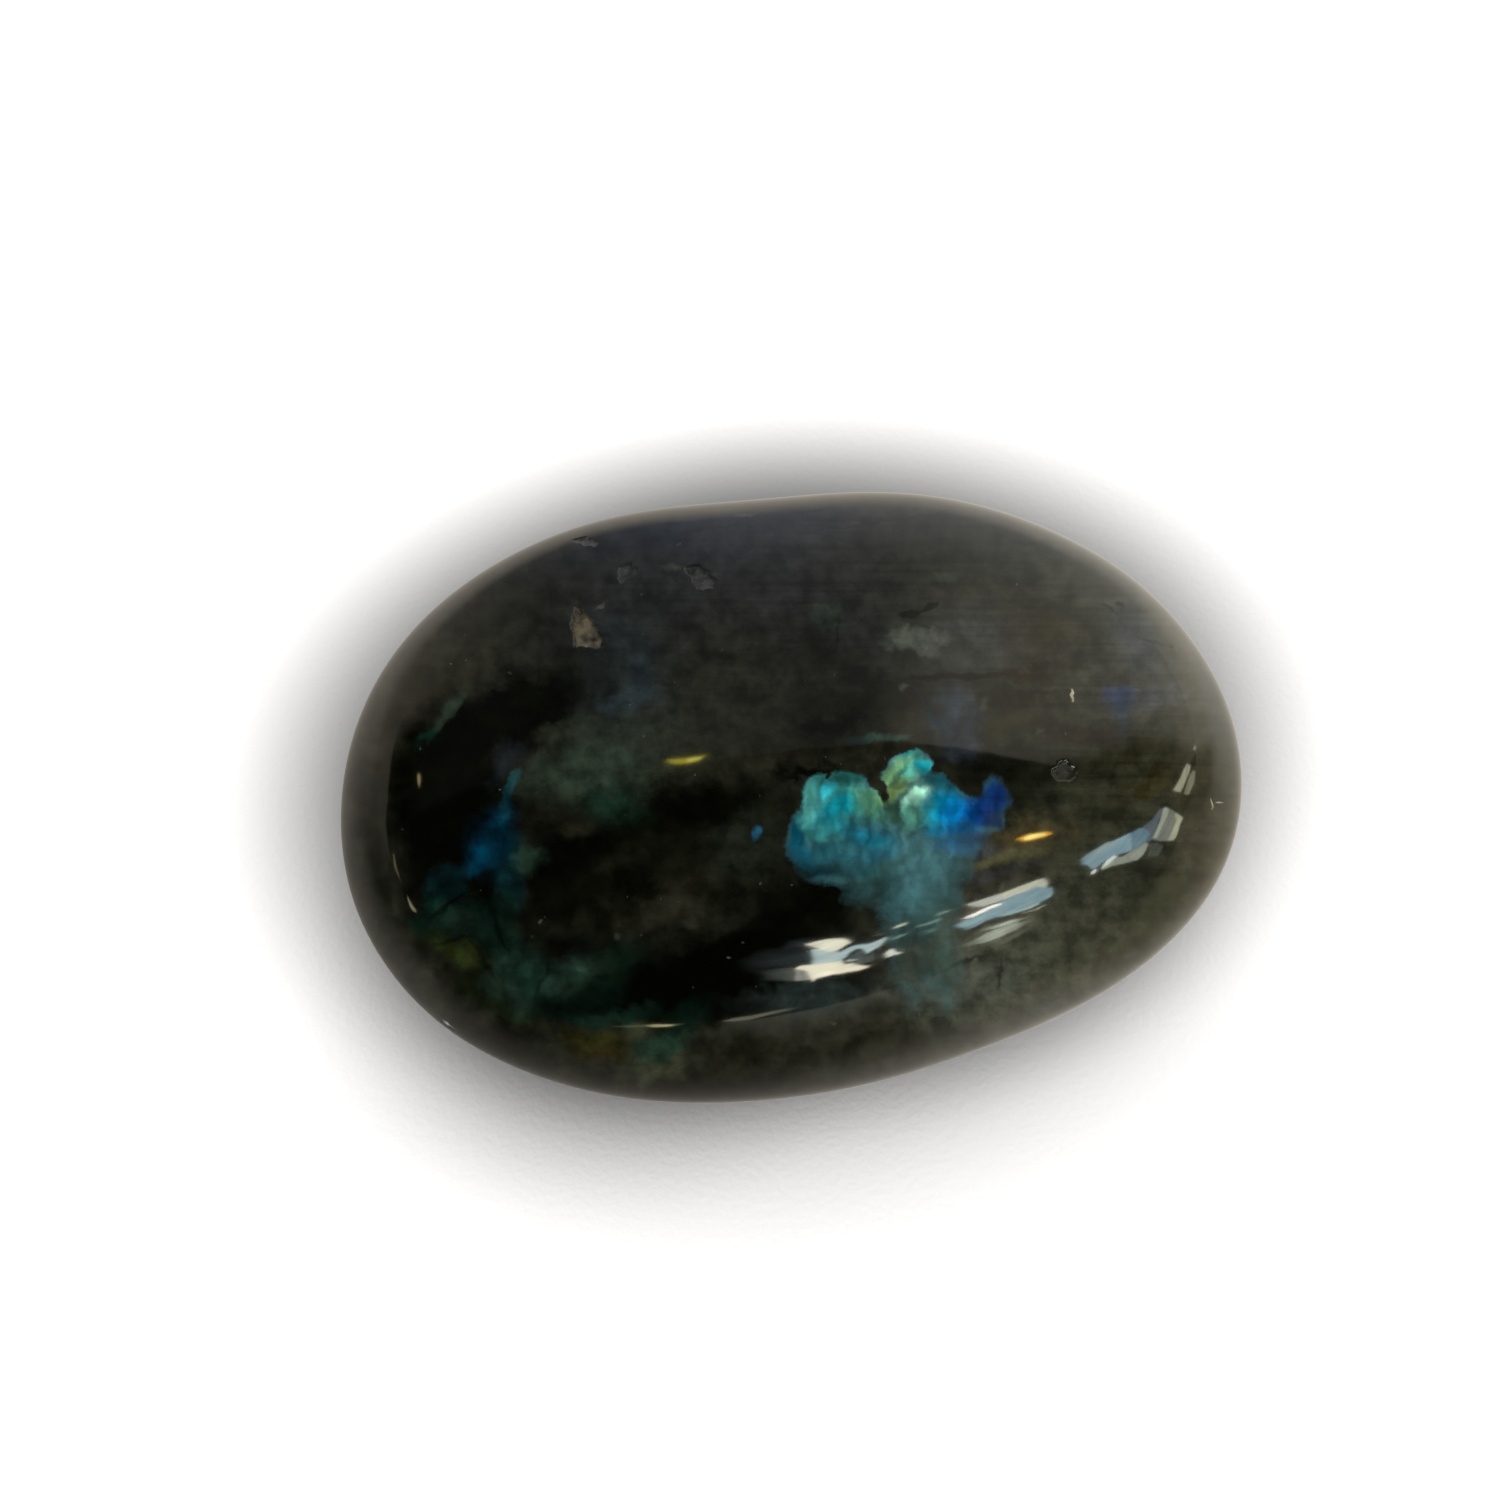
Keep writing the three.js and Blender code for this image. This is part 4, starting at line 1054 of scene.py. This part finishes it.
def hidden_sides(tree, body, in_mm):
    """The body where the face ends, with a few dim flashes of its own."""
    hidden = node(tree, "ShaderNodeTexNoise", {
        "Vector": in_mm, "Scale": HIDDEN_FLASHES_PER_MM, "Detail": 3.0, "Roughness": 0.6,
    }).node
    share = node(tree, "ShaderNodeMapRange", {
        "Value": hidden.outputs["Fac"], "From Min": 0.58, "From Max": 0.7, "To Max": 0.8,
    }, interpolation_type="SMOOTHSTEP")
    hue = node(tree, "ShaderNodeSeparateColor", {"Color": hidden.outputs["Color"]}).node.outputs["Green"]
    flash = node(tree, "ShaderNodeMix", {
        0: hue, 6: linear(PALETTE["head_core"]), 7: linear(PALETTE["sage"]),
    }, data_type="RGBA")
    return node(tree, "ShaderNodeMix", {0: share, 6: body, 7: flash}, data_type="RGBA")


def polished_labradorite(sizes):
    """Labradorite feldspar, hand polished: dark glassy olive depth under a clear sharp gloss."""
    material, tree = new_material("polished_labradorite")
    place = node(tree, "ShaderNodeTexCoord").node.outputs["Object"]
    in_mm = node(tree, "ShaderNodeMapping", {"Vector": place, "Scale": (1 / MM, 1 / MM, 1 / MM)})
    body = feldspar_body(tree, in_mm, sizes)
    face = on_face(tree, place)
    marked, near_frayed = face_markings(tree, body, face)
    marked = bright_flash(tree, marked, near_frayed)
    marked = dusted(tree, marked, near_frayed)
    textured = mottled(tree, marked, face, near_frayed)

    # The face ends where the stone turns away from it
    middle = Vector((0, 0, sizes.belly - sizes.rest_cut))
    from_middle = node(tree, "ShaderNodeVectorMath", {0: place, 1: middle}, operation="SUBTRACT")
    forward = node(tree, "ShaderNodeVectorMath", {0: from_middle, 1: FACE_TOWARD}, operation="DOT_PRODUCT")
    facing = node(tree, "ShaderNodeMapRange", {
        "Value": forward, "From Min": -FACE_EDGE * MM, "From Max": 0.0,
    }, interpolation_type="SMOOTHSTEP")
    behind = hidden_sides(tree, body, in_mm)
    whole = node(tree, "ShaderNodeMix", {0: facing, 6: behind, 7: textured}, data_type="RGBA")

    # The chips are filled with duller mineral, and are matt
    fill = node(tree, "ShaderNodeAttribute", attribute_name="chip_fill").node
    colour = node(tree, "ShaderNodeMix", {
        0: fill.outputs["Alpha"], 6: whole, 7: fill.outputs["Color"],
    }, data_type="RGBA")
    roughness = node(tree, "ShaderNodeMapRange", {
        "Value": fill.outputs["Alpha"], "To Min": POLISH_ROUGHNESS, "To Max": CHIP_ROUGHNESS,
    })
    ripple = node(tree, "ShaderNodeTexNoise", {"Vector": in_mm, "Scale": RIPPLES_PER_MM, "Detail": 1.0})
    bump = node(tree, "ShaderNodeBump", {"Height": ripple, "Distance": RIPPLE_DEPTH * MM})
    shader = node(tree, "ShaderNodeBsdfPrincipled", {
        "Base Color": colour, "Roughness": roughness, "IOR": STONE_IOR, "Normal": bump,
    })
    node(tree, "ShaderNodeOutputMaterial", {"Surface": shader})
    return material


def paper_material(settings):
    """Plain white paper: matt, with a faint grain, and shaded round the stone and on its left."""
    material, tree = new_material("white_paper")
    place = node(tree, "ShaderNodeTexCoord").node.outputs["Object"]
    grain = node(tree, "ShaderNodeTexNoise", {"Vector": place, "Scale": PAPER_GRAINS_PER_M, "Detail": 1.0})
    bump = node(tree, "ShaderNodeBump", {
        "Height": grain, "Strength": 0.25, "Distance": PAPER_GRAIN_DEPTH * MM,
    })
    colour = settings.paper[:3]
    for x, y, half_length, half_width, inner, outer, light_left in PAPER_SHADES:
        round_stone = node(tree, "ShaderNodeMapping", {
            "Vector": place, "Location": (x * MM, y * MM, 0),
            "Scale": (half_length * MM, half_width * MM, 1),
        }, vector_type="TEXTURE")
        away = node(tree, "ShaderNodeVectorMath", {0: round_stone}, operation="LENGTH")
        lit_share = node(tree, "ShaderNodeMapRange", {
            "Value": away, "From Min": inner, "From Max": outer, "To Min": light_left,
        }, interpolation_type="SMOOTHSTEP")
        colour = node(tree, "ShaderNodeVectorMath", {0: colour, "Scale": lit_share}, operation="SCALE")
    shader = node(tree, "ShaderNodeBsdfPrincipled", {
        "Base Color": colour, "Roughness": 1.0, "Specular IOR Level": 0.0, "Normal": bump,
    })
    node(tree, "ShaderNodeOutputMaterial", {"Surface": shader})
    return material


def glow_material(name, colour, power):
    """Light from a thing that shows only as far as the strength marked on its corners."""
    material, tree = new_material(name)
    place = node(tree, "ShaderNodeTexCoord").node.outputs["Object"]
    level = node(tree, "ShaderNodeMapping", {"Vector": place, "Scale": GLASS_STREAKS_PER_M})
    streaks = node(tree, "ShaderNodeTexNoise", {
        "Vector": level, "Scale": 1.0, "Detail": 3.0, "Roughness": 0.6,
    })
    strength = node(tree, "ShaderNodeMapRange", {
        "Value": streaks, "From Min": 0.3, "From Max": 0.7, "To Min": 0.72 * power, "To Max": 1.22 * power,
    })
    light = node(tree, "ShaderNodeEmission", {"Color": linear(colour), "Strength": strength})
    clear = node(tree, "ShaderNodeBsdfTransparent")
    shown = node(tree, "ShaderNodeAttribute", attribute_name="shown").node.outputs["Fac"]
    shader = node(tree, "ShaderNodeMixShader", {0: shown, 1: clear, 2: light})
    node(tree, "ShaderNodeOutputMaterial", {"Surface": shader})
    return material


def add_mirrored(name, bm, material, turn):
    """Adds a thing that only shows as a reflection: it neither hides the view nor lights the paper."""
    mesh = bpy.data.meshes.new(name)
    bm.to_mesh(mesh)
    bm.free()
    mesh.materials.append(material)
    piece = bpy.data.objects.new(name, mesh)
    piece.rotation_euler.z = math.radians(turn)
    bpy.context.collection.objects.link(piece)
    piece.visible_camera = False
    piece.visible_diffuse = False
    piece.visible_shadow = False
    piece.visible_transmission = False


def towards(azimuth, elevation):
    """The way to a thing in the room, azimuth clockwise from straight behind the stone."""
    a, e = math.radians(azimuth), math.radians(elevation)
    turn = Matrix.Rotation(math.radians(FACE_AZIMUTH), 3, "Z")
    return turn @ Vector((math.sin(a) * math.cos(e), math.cos(a) * math.cos(e), math.sin(e)))


def add_reflections(sizes):
    """Each one stands where the eye sees it in the stone, bright enough to show in its colour."""
    middle = girth_middle(sizes)
    for i, (name, colour, corners) in enumerate(REFLECTIONS):
        seen = [mirrored_at(sizes, middle, *corner[:2]) for corner in corners]
        distance = REFLECTION_DISTANCE - i * REFLECTION_STEP
        bm = bmesh.new()
        shown = bm.verts.layers.float.new("shown")
        verts = [bm.verts.new((at + way * distance) * MM) for at, way, share in seen]
        for vert, corner in zip(verts, corners):
            vert[shown] = corner[2] if len(corner) > 2 else 1.0
        bm.faces.new(verts)
        if any(len(corner) > 2 for corner in corners):
            for vert in bmesh.ops.poke(bm, faces=bm.faces[:])["verts"]:
                vert[shown] = 1.0
        power = len(seen) / sum(share for at, way, share in seen)
        add_mirrored(name, bm, glow_material(name, colour, power), 0)


def far_glow(tree, place):
    """The glow at the far end of the room, that both the room and the paper before it fade to."""
    flat = node(tree, "ShaderNodeVectorMath", {0: place, 1: (1, 1, 0)}, operation="MULTIPLY")
    way = node(tree, "ShaderNodeVectorMath", {0: flat}, operation="NORMALIZE")
    sideways = node(tree, "ShaderNodeSeparateXYZ", {"Vector": way}).node.outputs["X"]
    glow = linear(FAR_GLOW[0][1])
    for (low, _), (high, colour) in zip(FAR_GLOW, FAR_GLOW[1:]):
        share = node(tree, "ShaderNodeMapRange", {"Value": sideways, "From Min": low, "From Max": high})
        glow = node(tree, "ShaderNodeMix", {0: share, 6: glow, 7: linear(colour)}, data_type="RGBA")
    return glow


def far_room_material():
    """A dim wall and ceiling: pale on the right, darker on the left, and bright low down."""
    material, tree = new_material("far_room")
    place = node(tree, "ShaderNodeTexCoord").node.outputs["Object"]
    axes = node(tree, "ShaderNodeSeparateXYZ", {"Vector": place}).node

    # High up, from dark at the left to pale at the right, and gone towards the near side
    dim = node(tree, "ShaderNodeMapRange", {
        "Value": axes.outputs["X"], "From Min": -400 * MM, "From Max": 80 * MM,
        "To Min": 0.04, "To Max": 0.2,
    })
    low = node(tree, "ShaderNodeMapRange", {
        "Value": axes.outputs["Z"], "From Min": 0.0, "From Max": 600 * MM, "To Min": 1.7, "To Max": 0.7,
    })
    share = node(tree, "ShaderNodeMapRange", {
        "Value": axes.outputs["X"], "From Min": 100 * MM, "From Max": 270 * MM,
    }, interpolation_type="SMOOTHSTEP")
    strength = node(tree, "ShaderNodeMath", {0: dim, 1: low}, operation="MULTIPLY")
    left_side = node(tree, "ShaderNodeVectorMath", {
        0: linear("#fcfdf7")[:3], "Scale": strength,
    }, operation="SCALE")
    height = node(tree, "ShaderNodeMapRange", {
        "Value": axes.outputs["Z"], "From Min": 600 * MM, "From Max": 100 * MM,
    })
    right_side = node(tree, "ShaderNodeMix", {
        0: height, 6: linear("#d6d2be"), 7: linear("#a8a8a4"),
    }, data_type="RGBA")
    colour = node(tree, "ShaderNodeMix", {0: share, 6: left_side, 7: right_side}, data_type="RGBA")
    from_edge = node(tree, "ShaderNodeVectorMath", {
        0: place, 1: (-0.38, 0.85, 0.37),
    }, operation="DOT_PRODUCT")
    high_fade = node(tree, "ShaderNodeMapRange", {
        "Value": from_edge, "From Min": 0.0, "From Max": 170 * MM,
    }, interpolation_type="SMOOTHSTEP")
    high = node(tree, "ShaderNodeVectorMath", {0: colour, "Scale": high_fade}, operation="SCALE")

    # Low down, the far glow, gone at the near side and at the far left
    low_fade = node(tree, "ShaderNodeMapRange", {
        "Value": axes.outputs["Y"], "From Min": -50 * MM, "From Max": -15 * MM,
    })
    from_left = node(tree, "ShaderNodeVectorMath", {0: place, 1: (1.0, 1.0, -0.6)}, operation="DOT_PRODUCT")
    left_fade = node(tree, "ShaderNodeMapRange", {
        "Value": from_left, "From Min": -380 * MM, "From Max": -220 * MM,
    }, interpolation_type="SMOOTHSTEP")
    low_fade = node(tree, "ShaderNodeMath", {0: low_fade, 1: left_fade}, operation="MULTIPLY")
    lowest = node(tree, "ShaderNodeVectorMath", {
        0: far_glow(tree, place), "Scale": low_fade,
    }, operation="SCALE")
    low_share = node(tree, "ShaderNodeMapRange", {
        "Value": axes.outputs["Z"], "From Min": 400 * MM, "From Max": 100 * MM,
    })
    whole = node(tree, "ShaderNodeMix", {0: low_share, 6: high, 7: lowest}, data_type="RGBA")
    shader = node(tree, "ShaderNodeEmission", {"Color": whole})
    node(tree, "ShaderNodeOutputMaterial", {"Surface": shader})
    return material


def add_far_room():
    """The bright far half of the room, which greys the far half of the stone's gloss."""
    bm = bmesh.new()
    bmesh.ops.create_icosphere(bm, subdivisions=5, radius=ROOM_RADIUS * MM)
    bmesh.ops.bisect_plane(bm, geom=bm.verts[:] + bm.edges[:] + bm.faces[:], plane_co=(0, 0, 0),
                           plane_no=ROOM_CUT, clear_inner=True)
    add_mirrored("far_room", bm, far_room_material(), FACE_AZIMUTH)


def mirrored_paper_material():
    """Paper as the gloss shows it: pale near the stone, dim at its front left, bright far off."""
    material, tree = new_material("mirrored_paper")
    place = node(tree, "ShaderNodeTexCoord").node.outputs["Object"]
    axes = node(tree, "ShaderNodeSeparateXYZ", {"Vector": place}).node
    reach = node(tree, "ShaderNodeVectorMath", {0: place}, operation="LENGTH")
    right, away = axes.outputs["X"], axes.outputs["Y"]

    # How far each place lies in a band of millimetres, from its start to its end
    to_right, left_far, right_far, back_right, back_far, to_back = (
        node(tree, "ShaderNodeMapRange", {
            "Value": value, "From Min": start * MM, "From Max": end * MM,
        }, interpolation_type="SMOOTHSTEP")
        for value, start, end in ((right, -30, 40), (reach, 45, 85), (reach, 26, 55), (right, -50, 80),
                                  (reach, 60, 130), (away, -15, 45)))
    front_left = node(tree, "ShaderNodeMix", {
        0: left_far, 6: linear("#7c7870"), 7: linear("#2b2a26"),
    }, data_type="RGBA")
    front_right = node(tree, "ShaderNodeMix", {
        0: right_far, 6: linear("#c3bdb2"), 7: linear("#978e76"),
    }, data_type="RGBA")
    front = node(tree, "ShaderNodeMix", {0: to_right, 6: front_left, 7: front_right}, data_type="RGBA")
    back_near = node(tree, "ShaderNodeMix", {
        0: back_right, 6: linear("#aaa297"), 7: linear("#f4eee0"),
    }, data_type="RGBA")
    back = node(tree, "ShaderNodeMix", {
        0: back_far, 6: back_near, 7: far_glow(tree, place),
    }, data_type="RGBA")
    colour = node(tree, "ShaderNodeMix", {0: to_back, 6: front, 7: back}, data_type="RGBA")

    # It ends softly at the front, and is brightest towards the right
    front_fade = node(tree, "ShaderNodeMapRange", {
        "Value": away, "From Min": -52 * MM, "From Max": -22 * MM,
    }, interpolation_type="SMOOTHSTEP")
    to_side = node(tree, "ShaderNodeVectorMath", {0: place, 1: (1.0, -0.9, 0)}, operation="DOT_PRODUCT")
    side_gain = node(tree, "ShaderNodeMapRange", {
        "Value": to_side, "From Max": 50 * MM, "To Min": 1.0, "To Max": 1.22,
    })
    strength = node(tree, "ShaderNodeMath", {0: front_fade, 1: side_gain}, operation="MULTIPLY")
    shader = node(tree, "ShaderNodeEmission", {"Color": colour, "Strength": strength})
    node(tree, "ShaderNodeOutputMaterial", {"Surface": shader})
    return material


def add_mirrored_paper():
    """What the stone's gloss shows of the paper: dimmer than it looks in the open."""
    bm = bmesh.new()
    bm.faces.new([bm.verts.new((x * MM, y * MM, -MIRRORED_PAPER_DEPTH * MM)) for x, y in MIRRORED_PAPER])
    add_mirrored("mirrored_paper", bm, mirrored_paper_material(), FACE_AZIMUTH)


def near_table_material():
    """A pale table top, brightest at its far edge and fading to the left and right."""
    material, tree = new_material("near_table")
    place = node(tree, "ShaderNodeTexCoord").node.outputs["Object"]
    axes = node(tree, "ShaderNodeSeparateXYZ", {"Vector": place}).node
    height = node(tree, "ShaderNodeMapRange", {
        "Value": axes.outputs["Z"], "From Min": -200 * MM, "From Max": -20 * MM,
        "To Min": 0.1, "To Max": 0.6,
    })
    right = node(tree, "ShaderNodeMapRange", {
        "Value": axes.outputs["X"], "From Min": 100 * MM, "From Max": 580 * MM,
        "To Min": 1.0, "To Max": 0.0,
    }, interpolation_type="SMOOTHSTEP")
    slanted = node(tree, "ShaderNodeMath", {
        0: axes.outputs["Z"], 1: 0.5, 2: axes.outputs["X"],
    }, operation="MULTIPLY_ADD")
    left = node(tree, "ShaderNodeMapRange", {
        "Value": slanted, "From Min": -40 * MM, "From Max": 30 * MM,
    }, interpolation_type="SMOOTHSTEP")
    strength = node(tree, "ShaderNodeMath", {0: height, 1: right}, operation="MULTIPLY")
    strength = node(tree, "ShaderNodeMath", {0: strength, 1: left}, operation="MULTIPLY")
    shader = node(tree, "ShaderNodeEmission", {"Color": linear("#f8f4e4"), "Strength": strength})
    node(tree, "ShaderNodeOutputMaterial", {"Surface": shader})
    return material


def add_near_table():
    """The pale table before the stone, bright at its far edge, that the front of the gloss shows."""
    bm = bmesh.new()
    bm.faces.new([bm.verts.new((x * MM, -TABLE_DISTANCE * MM, z * MM)) for x, z in NEAR_TABLE])
    add_mirrored("near_table", bm, near_table_material(), FACE_AZIMUTH)


def add_paper(settings):
    """The paper that the stone rests on, hidden from the gloss, which has its own."""
    bm = bmesh.new()
    bmesh.ops.create_grid(bm, x_segments=1, y_segments=1, size=settings.paper_span / 2)
    mesh = bpy.data.meshes.new("paper")
    bm.to_mesh(mesh)
    bm.free()
    piece = bpy.data.objects.new("paper", mesh)
    bpy.context.collection.objects.link(piece)
    mesh.materials.append(paper_material(settings))
    piece.visible_glossy = False


def add_window_light():
    """A soft light from behind the stone's right."""
    lamp = bpy.data.lights.new("window_light", "AREA")
    lamp.shape = "SQUARE"
    lamp.size = LAMP_SIZE * MM
    lamp.energy = LAMP_WATTS
    piece = bpy.data.objects.new("window_light", lamp)
    bpy.context.collection.objects.link(piece)
    piece.location = towards(LAMP_AZIMUTH, LAMP_ELEVATION) * (LAMP_DISTANCE * MM)
    piece.rotation_euler = (-piece.location).to_track_quat("-Z", "Y").to_euler()
    piece.visible_glossy = False


def set_world():
    """Soft light from everywhere, and a dark room in the stone's gloss."""
    world = bpy.data.worlds.new("room")
    bpy.context.scene.world = world
    world.use_nodes = True
    tree = world.node_tree
    tree.nodes.clear()
    rays = node(tree, "ShaderNodeLightPath").node
    glossy = node(tree, "ShaderNodeBackground", {"Color": linear("#26241f"), "Strength": 0.6})
    soft = node(tree, "ShaderNodeBackground", {"Color": linear("#f6f6f6"), "Strength": 1.42})
    mixed = node(tree, "ShaderNodeMixShader", {0: rays.outputs["Is Glossy Ray"], 1: soft, 2: glossy})
    node(tree, "ShaderNodeOutputWorld", {"Surface": mixed})


def add_camera():
    """A long lens at the photograph's viewing angle."""
    turn = face_frame()
    camera = bpy.data.cameras.new("camera")
    camera.sensor_width = SENSOR_WIDTH
    camera.lens = SENSOR_WIDTH * CAMERA_DISTANCE / PICTURE_WIDTH
    camera.clip_start, camera.clip_end = 0.01, 10.0
    piece = bpy.data.objects.new("camera", camera)
    bpy.context.collection.objects.link(piece)
    piece.matrix_world = Matrix.Translation(eye() * MM) @ turn.to_4x4()
    bpy.context.scene.camera = piece


class STONE_OT_add_palm_stone(bpy.types.Operator):
    """Add the polished stone, with its chips and its markings"""

    bl_idname = "stone.add_palm_stone"
    bl_label = "Add palm stone"

    def execute(self, context):
        sizes = context.scene.palm_stone
        mesh = stone_mesh(sizes)
        piece = bpy.data.objects.new(STONE_PIECE, mesh)
        context.collection.objects.link(piece)
        mesh.materials.append(polished_labradorite(sizes))
        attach(piece, "root")
        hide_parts(STONE_NODE)
        return {"FINISHED"}


class STONE_OT_add_stage(bpy.types.Operator):
    """Add the paper, the light, the reflected room and the camera"""

    bl_idname = "stone.add_stage"
    bl_label = "Add stage"

    def execute(self, context):
        settings = context.scene.palm_stage
        add_paper(settings)
        add_mirrored_paper()
        add_near_table()
        add_window_light()
        add_far_room()
        add_reflections(context.scene.palm_stone)
        set_world()
        add_camera()
        context.scene.view_settings.view_transform = "Standard"
        return {"FINISHED"}


class STONE_PT_palm_stone(bpy.types.Panel):
    bl_idname = "STONE_PT_palm_stone"
    bl_label = "Palm stone"
    bl_space_type = "VIEW_3D"
    bl_region_type = "UI"
    bl_category = "Palm stone"

    def draw(self, context):
        for settings, operator in ((context.scene.palm_stone, STONE_OT_add_palm_stone),
                                   (context.scene.palm_stage, STONE_OT_add_stage)):
            box = self.layout.box()
            for name in settings.__annotations__:
                box.prop(settings, name)
            box.operator(operator.bl_idname)


CLASSES = (PalmStoneSettings, PalmStageSettings, STONE_OT_add_palm_stone, STONE_OT_add_stage,
           STONE_PT_palm_stone)


def register():
    for cls in CLASSES:
        bpy.utils.register_class(cls)
    bpy.types.Scene.palm_stone = bpy.props.PointerProperty(type=PalmStoneSettings)
    bpy.types.Scene.palm_stage = bpy.props.PointerProperty(type=PalmStageSettings)


def unregister():
    del bpy.types.Scene.palm_stage
    del bpy.types.Scene.palm_stone
    for cls in reversed(CLASSES):
        bpy.utils.unregister_class(cls)


def main():
    register()
    bpy.ops.stone.add_stage()
    bpy.ops.stone.add_palm_stone()


if __name__ == "__main__":
    main()
